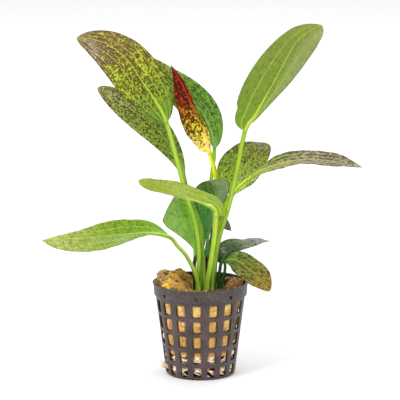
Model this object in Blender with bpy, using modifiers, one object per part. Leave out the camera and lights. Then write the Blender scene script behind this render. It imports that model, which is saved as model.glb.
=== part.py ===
"""A potted amazon sword plant: fourteen leaves on one crown of roots, held by two pads of
mineral wool in a black net pot. It stands on the pot's base, with the origin at the middle
of that base, +Z up, and the side that is looked at towards -Y. Blender works in metres, and
the places and sizes below are in millimetres and are turned to metres by MM."""

import math
from dataclasses import dataclass

import bmesh
import bpy
import numpy as np
from mathutils import Matrix

MM = 0.001
GAP = 0.3

# The net pot
POT_HEIGHT = 53.6
RIM_RADIUS = 27.5
BAND_FOOT_RADIUS = 26.7
BAND_HEIGHT = 7.3
WALL_TOP_RADIUS = 25.5
BASE_RADIUS = 19.6
POT_WALL = 1.2
WINDOW_COLUMNS = 16
WINDOW_ANGLE = 13.0
FIRST_WINDOW_ANGLE = -5.0
WINDOW_BOTTOMS = (1.6, 9.8, 18.9, 28.1, 37.3)
WINDOW_HEIGHTS = (5.6, 6.8, 7.2, 7.2, 7.2)
FLOOR_SLOT_RADII = (14.5, 6.5)
BAND_HOLE_DIAMETER = 2.0
BAND_HOLE_HEIGHT = 48.6
BAND_HOLES = 8
BAND_HOLE_SIDES = 8

# The crown, where the leaf stalks meet, and the roots below it
CROWN_CENTRE = (3.6, -2.2)
CROWN_RADIUS = 9.6
CROWN_TOP = 43.0
STALK_FOOT = CROWN_TOP + 2 * GAP
ROOTS_TOP = 12.5
ROOTS_RADIUS = 17.6
ROOTS_BOTTOM = POT_WALL + 2 * GAP
STRAY_ROOTS_ANGLE = FIRST_WINDOW_ANGLE - 3 * 360 / WINDOW_COLUMNS
STRAY_ROOTS_RADIUS = 1.3

# The wool, which lies over the roots and fills the pot from its wall to the crown
WOOL_BOTTOM = ROOTS_TOP + 2 * GAP
WOOL_GAP = 0.5
WOOL_SECTIONS = 16
WOOL_NECK = 47.9
WOOL_BULGE = 1.5
WOOL_LAP = 1.6

WOOL_LEFT_TOPS = (
    (52.5, 51), (52.5, 51), (53, 51.5), (54, 53), (56, 54.8), (59, 57), (60.5, 58), (57.5, 55.5),
    (51.5, 50.5), (46.5, 46),
)
WOOL_RIGHT_TOPS = (
    (52.5, 51), (53, 51), (54.5, 51), (56.3, 51), (56, 51.5), (52, 50.5), (48.5, 48), (46.5, 46),
)

TURNED_STEPS = 20
SMOOTH_ANGLE = math.radians(40)


@dataclass
class Leaf:
    """One leaf, with its stalk. The stalk runs from the crown to the collar, where the blade
    starts, and the rib goes on from there to the tip. Left and right are as seen by someone who
    looks at the blade's upper face with its tip up. A lobe is how far the blade's edge reaches
    back past the collar."""

    stalk: tuple
    rib: tuple
    half_widths: tuple
    belly: tuple
    faces: tuple
    fold: tuple
    base: tuple = (1.2, 1.2)
    tip: tuple = (0.75, 0.75)
    lobe: tuple = (0, 0)
    stalk_width: float = 2.4
    wave: float = 0.5
    waves: float = 2.0
    colour: str = "#5f8f2a"


LEAVES = {
    "leaf_upper_left": Leaf(
        stalk=((-1.2, -3.0, STALK_FOOT), (-0.9, -3.0, 56), (-0.6, -2.8, 72), (-3.2, -1.6, 89),
               (-9.2, 0, 108)),
        rib=((-19.3, 3, 145), (-26.5, 5.5, 158.5), (-33.7, 8, 168.6), (-41.7, 10, 180),
             (-51, 13, 187.3), (-61, 16, 190.8), (-70.5, 19, 191.5)),
        half_widths=(15.2, 13.5), belly=(0.5, 0.36), base=(0.5, 1.1), tip=(0.6, 0.75),
        faces=((0.1, -1, 0), (0.1, -1, 0.1), (0.1, -1, 0.2)), fold=(18, 6), colour="#6c7f2c",
    ),
    "leaf_left_behind": Leaf(
        stalk=((0.4, 0.3, STALK_FOOT), (0.3, 3.5, 58), (-1, 9, 76), (-4.5, 14, 92)),
        rib=((-8.7, 15, 108), (-11, 17, 117.5), (-15.5, 19, 126.5), (-24, 22, 137), (-34.3, 26, 145.3),
             (-46.5, 30, 152.7), (-59.5, 34, 160)),
        half_widths=(9.2, 8.2), belly=(0.55, 0.6), base=(0.8, 0.8), tip=(0.7, 0.45),
        faces=((0.1, -1, 0), (0.1, -1, 0.1), (0.1, -1, 0.2)), fold=(15, 8), colour="#55702a",
    ),
    "leaf_middle_behind": Leaf(
        stalk=((1.6, -3.4, STALK_FOOT), (2.0, -2.2, 56), (1.6, 0.4, 68), (0.7, 3.8, 84), (4.2, 9.5, 99),
               (6.6, 14, 114)),
        rib=((8, 18, 127.5), (6.2, 22, 136.5), (1, 27, 147), (-8, 33, 156.5), (-20, 39, 165.5),
             (-33.5, 45, 177)),
        half_widths=(10, 10.2), belly=(0.45, 0.37), base=(0.9, 1.0), tip=(0.75, 0.55),
        faces=((0.1, -1, 0), (0.1, -1, 0), (0.1, -1, 0)), fold=(15, 8), stalk_width=2.2,
        colour="#4f8a35",
    ),
    "leaf_young_red": Leaf(
        stalk=((4.2, -2.9, STALK_FOOT), (4.6, -1.6, 52), (6.9, 1.2, 64), (9.2, 5, 80), (10, 8, 97),
               (8.8, 7.5, 113)),
        rib=((5.2, 5, 127.5), (3.2, 2.5, 138), (-2, 0, 149), (-6.5, -3, 159.5), (-11, -6, 169.6),
             (-16.5, -9, 179.3)),
        half_widths=(10.4, 5.6), belly=(0.33, 0.5), base=(0.5, 1.0), tip=(0.85, 0.75),
        faces=((-0.6, -0.8, 0), (-0.6, -0.8, 0), (-0.6, -0.8, 0)), fold=(35, 35), stalk_width=2.6,
        colour="#9c6a22",
    ),
    "leaf_upper_right": Leaf(
        stalk=((6.4, -6.0, STALK_FOOT), (6.8, -6.3, 56), (8.1, -6.7, 67), (11, -7.5, 82), (16, -8.9, 99),
               (20.1, -10.8, 118)),
        rib=((25, -14, 143), (30.5, -17, 152.5), (40, -24, 171), (50.5, -34, 192.5), (57, -40, 201),
             (65.7, -47, 206.5)),
        half_widths=(14.4, 10.9), belly=(0.34, 0.72), base=(0.62, 0.5), tip=(0.8, 0.45),
        faces=((0, -1, 0.1), (0, -1, 0.1), (0, -1, 0.1)), fold=(-8, -5), stalk_width=2.6,
        colour="#7d9440",
    ),
    "leaf_right_long": Leaf(
        stalk=((7.3, -2.7, STALK_FOOT), (8.0, -2.4, 56), (8.7, -1.6, 66), (10.8, -0.9, 82), (15.3, 0, 98),
               (21.5, 0, 108)),
        rib=((30, -1, 114.7), (37, -2, 119), (46, -4, 123), (56.7, -7, 125.5), (67.5, -11, 126),
             (79.4, -16, 125.3), (90.2, -22, 123.7)),
        half_widths=(9.2, 8.6), belly=(0.45, 0.45), base=(0.6, 0.9),
        faces=((0, -0.35, 0.94), (0, -0.35, 0.94), (0, -0.35, 0.94)), fold=(12, 8), stalk_width=2.3,
        colour="#6f6a3c",
    ),
    "leaf_right_behind": Leaf(
        stalk=((7.0, 0.7, STALK_FOOT), (7.8, 3.4, 54), (8.6, 7.6, 64), (10.7, 11.4, 80), (14.5, 13.4, 97)),
        rib=((17.5, 14, 101), (21, 16.5, 109), (28, 22, 119.5), (34, 27.5, 125), (39.5, 34, 127.5)),
        half_widths=(15, 10.8), belly=(0.42, 0.45), base=(0.7, 0.9), tip=(0.6, 0.6),
        faces=((-0.2, -0.9, 0.3), (-0.1, -0.7, 0.6), (-0.1, -0.6, 0.8)), fold=(10, 0), colour="#5c7a30",
    ),
    "leaf_front_left": Leaf(
        stalk=((3.2, -7.2, STALK_FOOT), (3.9, -8.1, 54), (5.7, -9.9, 66), (7.8, -11.5, 82)),
        rib=((8.4, -12.9, 94), (7.2, -13.7, 98.5), (2, -15, 101.5), (-7.5, -18, 106), (-16.5, -22, 110.5),
             (-25, -26, 114), (-34.5, -31, 117.5)),
        half_widths=(7.5, 8.4), belly=(0.75, 0.3), base=(1.1, 0.35), tip=(0.35, 0.5),
        faces=((0.2, -0.6, 0.8), (0, -0.5, 0.86), (0, -0.6, 0.8)), fold=(30, 8), lobe=(1, 2.8),
        stalk_width=3.0, colour="#8fb23a",
    ),
    "leaf_left_dark": Leaf(
        stalk=((-2.6, 0.3, STALK_FOOT), (-3.4, 1.4, 54), (-3.7, 3, 62)),
        rib=((-3, 4.5, 67.7), (-4.2, 7.5, 79.2), (-5.5, 9.5, 87), (-7.5, 11, 94), (-12.5, 12.5, 104)),
        half_widths=(16, 7), belly=(0.62, 0.5), base=(1.2, 0.9), tip=(0.9, 0.75),
        faces=((0, -1, 0), (0, -1, 0), (0, -1, 0)), fold=(10, 10), stalk_width=1.6, colour="#4d7a35",
    ),
    "leaf_middle_dark": Leaf(
        stalk=((3.6, 1.0, STALK_FOOT), (3.7, 1.9, 54), (3.9, 2.5, 62)),
        rib=((4.2, 2.8, 68), (4.6, 3.2, 78), (5.2, 3.2, 90), (5.4, 2, 102), (3.2, -0.5, 112)),
        half_widths=(9.8, 12.4), belly=(0.8, 0.88), base=(0.8, 0.8),
        tip=(0.4, 0.5), faces=((0, -1, 0), (0, -1, 0.2), (0, -1, 0.5)), fold=(6, 0), stalk_width=3.0,
        colour="#2f5c35",
    ),
    "leaf_low_left": Leaf(
        stalk=((-1.0, -6.2, STALK_FOOT), (-1.0, -6.4, 51), (-3.4, -7, 60.5), (-8, -8, 70),
               (-13.4, -9, 76.5)),
        rib=((-17.5, -11, 81.5), (-28, -16, 85), (-38, -20, 85.5), (-50, -25, 85.5), (-61.7, -29, 85),
             (-75, -32, 85), (-88.3, -34, 84.8)),
        half_widths=(12.4, 10.7), belly=(0.58, 0.33), base=(1.1, 1.0), tip=(0.75, 1.05),
        faces=((0, -0.4, 0.9), (0, -0.5, 0.86), (0, -0.8, 0.6)), fold=(28, 0), stalk_width=2.3,
        colour="#5f9a2e",
    ),
    "leaf_small_grey": Leaf(
        stalk=((4.6, 4.4, STALK_FOOT), (4.8, 6.4, 56), (5.4, 9, 70), (6.4, 10.6, 79)),
        rib=((7.0, 10.9, 83), (9.4, 10.6, 87.5), (12.6, 9.6, 88), (15.2, 8.8, 85.3), (17.7, 8.2, 81.4)),
        half_widths=(1.8, 5), belly=(0.5, 0.5),
        faces=((-0.5, -0.8, 0.3), (0, -1, 0.3), (0, -1, 0.3)), fold=(0, 0), stalk_width=1.6,
        colour="#7d7a6a",
    ),
    "leaf_low_right_dark": Leaf(
        stalk=((10.2, 2.4, STALK_FOOT), (10.5, 2.9, 54), (11.2, 3.7, 60)),
        rib=((11.8, 4, 63), (14.6, 3.8, 68.4), (19.8, 3, 72.2), (27, 2, 74.8), (33.5, 1, 76.6), (40, 0, 77)),
        half_widths=(7.8, 5), belly=(0.28, 0.4), base=(0.3, 0.8),
        faces=((-0.3, -0.95, 0.15), (-0.2, -0.4, 0.9), (0, -0.2, 0.98)), fold=(6, -5), stalk_width=2.0,
        colour="#2f5a3a",
    ),
    "leaf_low_right": Leaf(
        stalk=((11.3, -1.5, STALK_FOOT), (11.2, -1.8, 50), (13.4, -2.6, 57), (14, -3.6, 62)),
        rib=((14.2, -5, 66), (17.5, -8, 68), (22, -10, 67), (29.5, -14, 62), (34.5, -16.5, 57.5),
             (39, -19, 52)),
        half_widths=(8.4, 8.8), belly=(0.55, 0.5), base=(0.6, 0.9), tip=(0.6, 0.65),
        faces=((-0.5, -0.5, 0.7), (0.2, -0.7, 0.7), (0.5, -0.8, 0.3)), fold=(10, 5), lobe=(4, 1),
        stalk_width=1.8, colour="#6d6f2c",
    ),
}

PATH_STEPS = 24
BLADE_STATIONS = 12
# The points of a leaf's cross-section: where each is round the rib, and how far it goes out with
# the blade as that widens
RING_ANGLES = np.radians(np.arange(0, 360, 30))
RING_SPREAD = np.array((1, 0.55, 0, 0, 0, -0.55, -1, -0.55, 0, 0, 0, 0.55))
BLADE_THICKNESS = 0.8
TIP_RIB_RADIUS = 0.45
BLADE_END = 0.985
LOBE_REACH = 0.4


def linear_colour(text):
    """The linear RGBA value of an sRGB colour written as #rrggbb."""
    parts = np.array([int(text[i : i + 2], 16) for i in (1, 3, 5)]) / 255
    linear = np.where(parts <= 0.04045, parts / 12.92, ((parts + 0.055) / 1.055) ** 2.4)
    return (*linear, 1.0)


def finish(obj, colour, roughness):
    """Gives the object its own material, and shades a mesh's round faces smooth."""
    material = bpy.data.materials.new(obj.name)
    material.use_nodes = True
    shader = material.node_tree.nodes["Principled BSDF"]
    shader.inputs["Base Color"].default_value = linear_colour(colour)
    shader.inputs["Roughness"].default_value = roughness
    shader.inputs["Metallic"].default_value = 0.0
    obj.data.materials.append(material)
    if obj.type == "MESH":
        obj.data.shade_smooth()
        obj.data.set_sharp_from_angle(angle=SMOOTH_ANGLE)


def add_object(name, bm, collection):
    """Makes an object of the bmesh, which is in millimetres."""
    bmesh.ops.scale(bm, vec=(MM, MM, MM), verts=bm.verts)
    mesh = bpy.data.meshes.new(name)
    bm.to_mesh(mesh)
    bm.free()
    obj = bpy.data.objects.new(name, mesh)
    collection.objects.link(obj)
    return obj


def loft(rings):
    """A closed bmesh through rings of equally many points, with a fan over each end."""
    bm = bmesh.new()
    rows = [[bm.verts.new(point) for point in ring] for ring in rings]
    for row, following in zip(rows, rows[1:]):
        for i, vertex in enumerate(row):
            j = (i + 1) % len(row)
            bm.faces.new((vertex, row[j], following[j], following[i]))
    for row, ring in ((rows[0], rings[0]), (rows[-1], rings[-1])):
        middle = bm.verts.new(np.mean(ring, axis=0))
        for i, vertex in enumerate(row):
            bm.faces.new((vertex, row[(i + 1) % len(row)], middle))
    bmesh.ops.recalc_face_normals(bm, faces=bm.faces)
    return bm


def unit(vectors):
    return vectors / np.linalg.norm(vectors, axis=-1, keepdims=True)


def smooth_curve(places):
    """A Catmull-Rom curve through the places: its points, PATH_STEPS to a span, and how far each
    lies along it as a share of its length."""
    places = np.array(places, float)
    slopes = np.gradient(places, axis=0)
    t = np.linspace(0, 1, PATH_STEPS + 1)[:, None]
    spans = [
        (2 * t**3 - 3 * t**2 + 1) * a + (t**3 - 2 * t**2 + t) * da
        + (3 * t**2 - 2 * t**3) * b + (t**3 - t**2) * db
        for a, b, da, db in zip(places, places[1:], slopes, slopes[1:])
    ]
    curve = np.concatenate([spans[0][:1]] + [span[1:] for span in spans])
    length = np.concatenate([[0], np.cumsum(np.linalg.norm(np.diff(curve, axis=0), axis=1))])
    return curve, length / length[-1]


def points_along(curve, shares, wanted):
    """The curve's points at the wanted shares of its length."""
    return np.stack([np.interp(wanted, shares, axis) for axis in curve.T], axis=1)


def smooth_step(x):
    x = np.clip(x, 0, 1)
    return x * x * (3 - 2 * x)


def half_width(leaf, side, s):
    """The blade's half width at the share s of its length: a sine bent so that it peaks at the
    belly, and raised to a power that goes from the base's taper to the tip's."""
    bend = math.log(0.5) / math.log(leaf.belly[side])
    power = leaf.base[side] + (leaf.tip[side] - leaf.base[side]) * smooth_step(s)
    return leaf.half_widths[side] * np.maximum(np.sin(math.pi * s**bend), 0) ** power


def leaf_rings(leaf):
    """The leaf's cross-sections, from the crown to the tip. In the stalk each is a circle, one at
    each of its places. In the blade its middle stays a round rib, and its sides spread into a
    thin folded sheet."""
    curve, shares = smooth_curve(leaf.stalk + leaf.rib)
    knots = shares[::PATH_STEPS]
    collar = knots[len(leaf.stalk)]
    blade = np.linspace(0, 1, BLADE_STATIONS + 1) ** 1.1 * BLADE_END
    stations = np.concatenate([knots[: len(leaf.stalk)], collar + (1 - collar) * blade])
    s = np.concatenate([np.zeros(len(leaf.stalk)), blade])
    centre = points_along(curve, shares, stations)
    tangent = unit(np.gradient(centre, stations, axis=0))
    faces = np.array([np.interp(s, (0, 0.5, 1), axis) for axis in np.transpose(leaf.faces)]).T
    normal = unit(faces - (faces * tangent).sum(axis=1, keepdims=True) * tangent)
    side = np.cross(tangent, normal)

    radius = leaf.stalk_width / 2 + (TIP_RIB_RADIUS - leaf.stalk_width / 2) * smooth_step(s) ** 0.6
    fold = np.radians(np.interp(s, (0, 1), leaf.fold))
    rings = []
    for angle, spread in zip(RING_ANGLES, RING_SPREAD):
        half = int(spread > 0)
        out = np.maximum(half_width(leaf, half, s) - radius, 0) * spread
        flat = smooth_step(np.abs(out) / 3) * (spread != 0)
        half_thick = (radius + (BLADE_THICKNESS / 2 - radius) * flat) * (1 + flat)
        ripple = leaf.wave * spread**2 * np.sin(2 * math.pi * (leaf.waves * s + 0.25 * spread))
        ripple *= smooth_step(4 * s) * smooth_step(4 - 4 * s)
        across = radius * math.cos(angle) + out * np.cos(fold)
        up = half_thick * math.sin(angle) + np.abs(out) * np.sin(fold) + ripple
        back = leaf.lobe[half] * np.abs(out) / leaf.half_widths[half] * smooth_step(1 - s / LOBE_REACH)
        rings.append(centre + across[:, None] * side + up[:, None] * normal - back[:, None] * tangent)
    return np.stack(rings, axis=1)


def make_leaf(name, leaf, collection):
    obj = add_object(name, loft(leaf_rings(leaf)), collection)
    finish(obj, leaf.colour, 0.35)


def on_circle(radius, degrees, height):
    """A point at this angle round the pot, counted from -Y towards +X."""
    angle = math.radians(degrees)
    return (radius * math.sin(angle), -radius * math.cos(angle), height)


def wall_radius(height):
    """The outer radius of the pot's wall below the band."""
    top = POT_HEIGHT - BAND_HEIGHT
    return BASE_RADIUS + (WALL_TOP_RADIUS - BASE_RADIUS) * height / top


def make_pot(collection, cutters):
    """The wall and floor are one skin, turned in uneven steps so that each column of windows is
    one step and each rib the next. The window faces are left out, as are slots in the floor
    under every other column, and the skin is given its thickness inwards."""
    band_foot = POT_HEIGHT - BAND_HEIGHT
    profile = [(RIM_RADIUS, POT_HEIGHT), (BAND_FOOT_RADIUS, band_foot), (WALL_TOP_RADIUS, band_foot)]
    window_rows = []
    for bottom, height in reversed(list(zip(WINDOW_BOTTOMS, WINDOW_HEIGHTS))):
        window_rows.append(len(profile))
        profile += [(wall_radius(z), z) for z in (bottom + height, bottom)]
    slot_row = len(profile) + 1
    profile += [(BASE_RADIUS, 0.0), (FLOOR_SLOT_RADII[0], 0.0), (FLOOR_SLOT_RADII[1], 0.0)]

    angles = []
    for column in range(WINDOW_COLUMNS):
        middle = FIRST_WINDOW_ANGLE + column * 360 / WINDOW_COLUMNS
        angles += [middle - WINDOW_ANGLE / 2, middle + WINDOW_ANGLE / 2]

    bm = bmesh.new()
    columns = [[bm.verts.new(on_circle(r, angle, z)) for r, z in profile] for angle in angles]
    for i, column in enumerate(columns):
        following = columns[(i + 1) % len(columns)]
        for row in range(len(profile) - 1):
            window = row in window_rows and i % 2 == 0
            slot = row == slot_row and i % 4 == 0
            if not window and not slot:
                bm.faces.new((column[row], column[row + 1], following[row + 1], following[row]))
    bm.faces.new([column[-1] for column in reversed(columns)])
    pot = add_object("net_pot", bm, collection)
    finish(pot, "#3b3537", 0.5)
    shell = pot.modifiers.new("wall", "SOLIDIFY")
    shell.thickness = POT_WALL * MM
    shell.offset = -1.0
    shell.use_even_offset = True

    bm = bmesh.new()
    for i in range(BAND_HOLES):
        drill = bmesh.ops.create_cone(
            bm, cap_ends=True, segments=BAND_HOLE_SIDES, radius1=BAND_HOLE_DIAMETER / 2,
            radius2=BAND_HOLE_DIAMETER / 2, depth=6 * POT_WALL,
        )["verts"]
        angle = math.radians(FIRST_WINDOW_ANGLE + i * 360 / BAND_HOLES)
        bmesh.ops.rotate(bm, verts=drill, matrix=Matrix.Rotation(math.pi / 2, 3, "X"))
        bmesh.ops.translate(bm, verts=drill, vec=(0, -RIM_RADIUS, BAND_HOLE_HEIGHT))
        bmesh.ops.rotate(bm, verts=drill, matrix=Matrix.Rotation(angle, 3, "Z"))
    holes = add_object("band_holes", bm, cutters)
    holes.display_type = "WIRE"
    holes.hide_render = True
    cut = pot.modifiers.new("band holes", "BOOLEAN")
    cut.object = holes
    cut.operation = "DIFFERENCE"
    cut.solver = "EXACT"


def make_crown_and_roots(collection):
    """A turned solid: the crown that the stalks stand on, its neck, and the mass of roots that
    spreads under the wool over the pot's floor, round the pot's own axis."""
    crown = (
        (CROWN_RADIUS - GAP, CROWN_TOP), (CROWN_RADIUS, CROWN_TOP - 1), (CROWN_RADIUS, 36), (8.2, 26),
        (8.2, 18), (8.8, ROOTS_TOP + GAP),
    )
    roots = (
        (ROOTS_RADIUS - 1.4, ROOTS_TOP), (ROOTS_RADIUS, ROOTS_TOP - 2), (ROOTS_RADIUS, 4.5),
        (ROOTS_RADIUS - 1.4, ROOTS_BOTTOM),
    )
    rings = []
    for profile, (x, y) in ((crown, CROWN_CENTRE), (roots, (0, 0))):
        for radius, height in profile:
            ring = [on_circle(radius, step * 360 / TURNED_STEPS, height) for step in range(TURNED_STEPS)]
            rings.append([(px + x, py + y, pz) for px, py, pz in ring])
    obj = add_object("crown_and_roots", loft(rings), collection)
    finish(obj, "#cbb48a", 0.8)


def wool_ring(degrees, crest, shoulder):
    """One cross-section of a wool pad, in the upright plane at this angle round the pot. The
    pad fills the pot from its wall to the crown. Its top is highest at the crest, half way in,
    and comes down to the shoulder at the wall. A shoulder well above the neck bulges out over
    the step inside the pot's band, and one above the rim laps over that as well."""
    def outer(height):
        return wall_radius(height) - POT_WALL - WOOL_GAP

    angle = math.radians(degrees)
    away = np.array((math.sin(angle), -math.cos(angle)))
    crown = np.array(CROWN_CENTRE)
    to_crown = crown @ away
    inner = to_crown + math.sqrt((CROWN_RADIUS + WOOL_GAP) ** 2 - crown @ crown + to_crown**2)
    neck = outer(POT_HEIGHT - BAND_HEIGHT)
    bulged = neck + WOOL_BULGE * smooth_step((shoulder - WOOL_NECK) / 2.5)
    lapped = bulged + WOOL_LAP * smooth_step((shoulder - POT_HEIGHT) / 3)
    low = min(WOOL_NECK, shoulder - GAP)
    section = (
        (inner, WOOL_BOTTOM), (outer(WOOL_BOTTOM), WOOL_BOTTOM), (neck, low),
        (bulged, low + 0.55 * (shoulder - low)), (lapped, shoulder), ((inner + neck) / 2, crest),
        (inner + GAP, WOOL_NECK - 1), (inner, 30),
    )
    return [(r * away[0], r * away[1], z) for r, z in section]


def make_wool(name, first, last, tops, collection):
    """A pad of wool between two angles round the pot. The tops are the heights of its crest and
    its shoulder at even steps between them."""
    share = np.linspace(0, 1, WOOL_SECTIONS)
    angles = first + (last - first) * share
    heights = [np.interp(share, np.linspace(0, 1, len(tops)), column) for column in zip(*tops)]
    obj = add_object(name, loft([wool_ring(*values) for values in zip(angles, *heights)]), collection)
    finish(obj, "#b98f3c", 0.95)


def make_stray_roots(collection):
    """A small tuft of roots that has grown out through the lowest window on the left."""
    stations = ((ROOTS_RADIUS + 2 * GAP, 4.5), (19.6, 4.4), (21.2, 4.8), (22.8, 5.8), (24.2, 7.4))
    curve = bpy.data.curves.new("stray_roots", "CURVE")
    curve.dimensions = "3D"
    curve.bevel_depth = STRAY_ROOTS_RADIUS * MM
    curve.bevel_resolution = 1
    curve.use_fill_caps = True
    spline = curve.splines.new("POLY")
    spline.points.add(len(stations) - 1)
    for point, (radius, height) in zip(spline.points, stations):
        point.co = (*(MM * np.array(on_circle(radius, STRAY_ROOTS_ANGLE, height))), 1)
        point.radius = 1.0
    spline.points[-1].radius = 0.4
    obj = bpy.data.objects.new("stray_roots", curve)
    collection.objects.link(obj)
    finish(obj, "#e2cfa8", 0.7)


def main():
    for obj in list(bpy.data.objects):
        bpy.data.objects.remove(obj)
    scene = bpy.context.scene
    plant = bpy.data.collections.new("potted_amazon_sword_plant")
    cutters = bpy.data.collections.new("cutters")
    cutters.hide_render = True
    scene.collection.children.link(plant)
    scene.collection.children.link(cutters)

    make_pot(plant, cutters)
    make_crown_and_roots(plant)
    make_wool("wool_left", 15, -176, WOOL_LEFT_TOPS, plant)
    make_wool("wool_right", 18, 181, WOOL_RIGHT_TOPS, plant)
    make_stray_roots(plant)
    for name, leaf in LEAVES.items():
        make_leaf(name, leaf, plant)


main()
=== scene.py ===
"""A potted amazon sword plant, dressed for its portrait. The order is that of the plant itself:
the net pot, the roots and crown in it, the mineral wool packed round them, then the leaves.
Places and sizes are in millimetres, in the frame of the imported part, with the origin at the
middle of the pot's base, and MM turns them to metres where a mesh is made."""

import math
from dataclasses import dataclass

import bmesh
import bpy
import numpy as np
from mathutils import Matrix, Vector


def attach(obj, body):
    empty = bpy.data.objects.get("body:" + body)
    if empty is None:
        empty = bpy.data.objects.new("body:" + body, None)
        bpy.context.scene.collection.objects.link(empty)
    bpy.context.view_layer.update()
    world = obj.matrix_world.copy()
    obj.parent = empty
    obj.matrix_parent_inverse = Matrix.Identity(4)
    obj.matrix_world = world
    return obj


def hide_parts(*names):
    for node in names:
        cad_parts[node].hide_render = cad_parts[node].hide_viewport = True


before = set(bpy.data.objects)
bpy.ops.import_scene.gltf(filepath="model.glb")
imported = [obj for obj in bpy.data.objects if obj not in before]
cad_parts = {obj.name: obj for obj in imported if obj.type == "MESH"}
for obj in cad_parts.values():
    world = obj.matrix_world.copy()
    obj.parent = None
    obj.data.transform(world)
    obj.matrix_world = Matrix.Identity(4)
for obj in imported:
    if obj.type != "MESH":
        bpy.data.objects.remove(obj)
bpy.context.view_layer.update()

# ---------------------------------------------------------------------------------------------
# The net pot: one piece of dark grey-brown polypropylene, injection moulded, with a plain band
# and a lip at the rim, eight drain holes in the band, five rows of windows and eight floor slots.

MM = 0.001
POT_HEIGHT = 53.6
RIM_RADIUS = 27.5
LIP_DEPTH = 0.9
LIP_FOOT = POT_HEIGHT - LIP_DEPTH
BAND_TOP_RADIUS = 27.05
BAND_FOOT_RADIUS = 26.6
BAND_FOOT = 46.3
WALL_TOP_RADIUS = 25.5
BASE_RADIUS = 19.6
POT_WALL = 1.2
WINDOW_COLUMNS = 16
WINDOW_ANGLE = 13.0
FIRST_WINDOW_ANGLE = -5.0
WINDOW_BOTTOMS = (1.6, 9.8, 18.9, 28.1, 37.3)
WINDOW_HEIGHTS = (5.6, 6.8, 7.2, 7.2, 7.2)
CELL_HEIGHTS = (1.3, 8.5, 17.75, 27.1, 36.3, 45.2)
DRAIN_HOLE = 2.0
DRAIN_CELL = (47.1, 51.3)
DRAIN_HOLE_HEIGHT = 48.6
SLOT_RADII = (6.5, 14.5)
FLOOR_CELL = (5.2, 16.2)
# A hole's outline is a superellipse: 2 makes it round, and 7 square with rounded corners.
WINDOW_SQUARENESS = 7
DRAIN_SQUARENESS = 2
# The fillet round a hole, as shares of the way to its cell's outline and of the wall, and the
# ring of points on the skin between them
FILLET_REACH = 0.2
FILLET_DEPTH = 0.25
FILLET_STEPS = 4
SKIN_RING = 0.55
RIB_PROUD = 0.2
RIB_HALF_ANGLE = 5.4
RIB_EDGE_ANGLE = 1.6
FLOOR_MIDDLE_RADIUS = 2.6
SIDE_STEPS = 8
COLUMN_PITCH = 360 / WINDOW_COLUMNS
WELD_DISTANCE = 0.001 * MM


def linear(text):
    """The linear RGB value of an sRGB colour written as #rrggbb."""
    parts = np.array([int(text[i : i + 2], 16) for i in (1, 3, 5)]) / 255
    return np.where(parts <= 0.04045, parts / 12.92, ((parts + 0.055) / 1.055) ** 2.4)


def rgba(text):
    """The same as four numbers, as a colour socket takes them."""
    return (*linear(text), 1.0)


def add(tree, kind, inputs=(), **settings):
    """Adds a shader node of this kind, and returns its outputs. The settings are its properties.
    The inputs are given in order, or by name or number: each is a value, or the socket that feeds
    it. A Mix node of colours has its share at input 0, its colours at 6 and 7, its result at 2."""
    node = tree.nodes.new("ShaderNode" + kind)
    for name, value in settings.items():
        setattr(node, name, value)
    for name, value in inputs.items() if isinstance(inputs, dict) else enumerate(inputs):
        if isinstance(value, bpy.types.NodeSocket):
            tree.links.new(value, node.inputs[name])
        else:
            node.inputs[name].default_value = value
    return node.outputs


def new_material(name, roughness):
    """A new material with its node tree and its Principled shader."""
    material = bpy.data.materials.new(name)
    material.use_nodes = True
    shader = material.node_tree.nodes["Principled BSDF"]
    shader.inputs["Roughness"].default_value = roughness
    return material, material.node_tree, shader


def grid_faces(rows, columns, closed):
    """The quads of a grid of points, row after row. A closed grid's last column joins its first."""
    row = np.arange(rows - 1)[:, None] * columns
    column = np.arange(columns if closed else columns - 1)
    following = (column + 1) % columns
    corners = [row + column, row + following, row + columns + following, row + columns + column]
    return np.stack(corners, axis=-1).reshape(-1, 4)


def grid_mesh(points, closed=True):
    """The points of a grid, (row, column, 3), as one list, and the quads between them."""
    return points.reshape(-1, 3), grid_faces(*points.shape[:2], closed)


def add_piece(name, points, faces, material, maps=None, colours=None, values=None):
    """Makes an object of points in millimetres and quads between them. Points that meet are
    welded, and the faces are turned outwards. Maps, colours and values are given by the point."""
    mesh = bpy.data.meshes.new(name)
    mesh.from_pydata(points * MM, [], faces.tolist())
    corners = np.empty(len(mesh.loops), np.int32)
    mesh.loops.foreach_get("vertex_index", corners)
    for layer, places in (maps or {}).items():
        uv = mesh.uv_layers.new(name=layer).uv
        uv.foreach_set("vector", places[corners].astype(np.float32).ravel())
    for layer, shades in (colours or {}).items():
        shades = np.concatenate([shades, np.ones((len(shades), 1))], axis=1)
        attribute = mesh.attributes.new(layer, "FLOAT_COLOR", "POINT")
        attribute.data.foreach_set("color", shades.astype(np.float32).ravel())
    for layer, amounts in (values or {}).items():
        attribute = mesh.attributes.new(layer, "FLOAT", "POINT")
        attribute.data.foreach_set("value", amounts.astype(np.float32))
    welded = bmesh.new()
    welded.from_mesh(mesh)
    bmesh.ops.remove_doubles(welded, verts=welded.verts, dist=WELD_DISTANCE)
    bmesh.ops.recalc_face_normals(welded, faces=welded.faces)
    welded.to_mesh(mesh)
    welded.free()
    mesh.shade_smooth()
    mesh.materials.append(material)
    piece = bpy.data.objects.new(name, mesh)
    bpy.context.scene.collection.objects.link(piece)
    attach(piece, "root")
    return piece


def join_meshes(parts):
    """One array of points and one of quads, from pairs of them."""
    starts = np.cumsum([0] + [len(points) for points, faces in parts])
    faces = [faces + start for (points, faces), start in zip(parts, starts)]
    return np.concatenate([points for points, faces in parts]), np.concatenate(faces)


def smooth_step(x):
    """0 up to x = 0, 1 from x = 1 on, and 3x^2 - 2x^3 between."""
    x = np.clip(x, 0, 1)
    return x * x * (3 - 2 * x)


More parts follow.
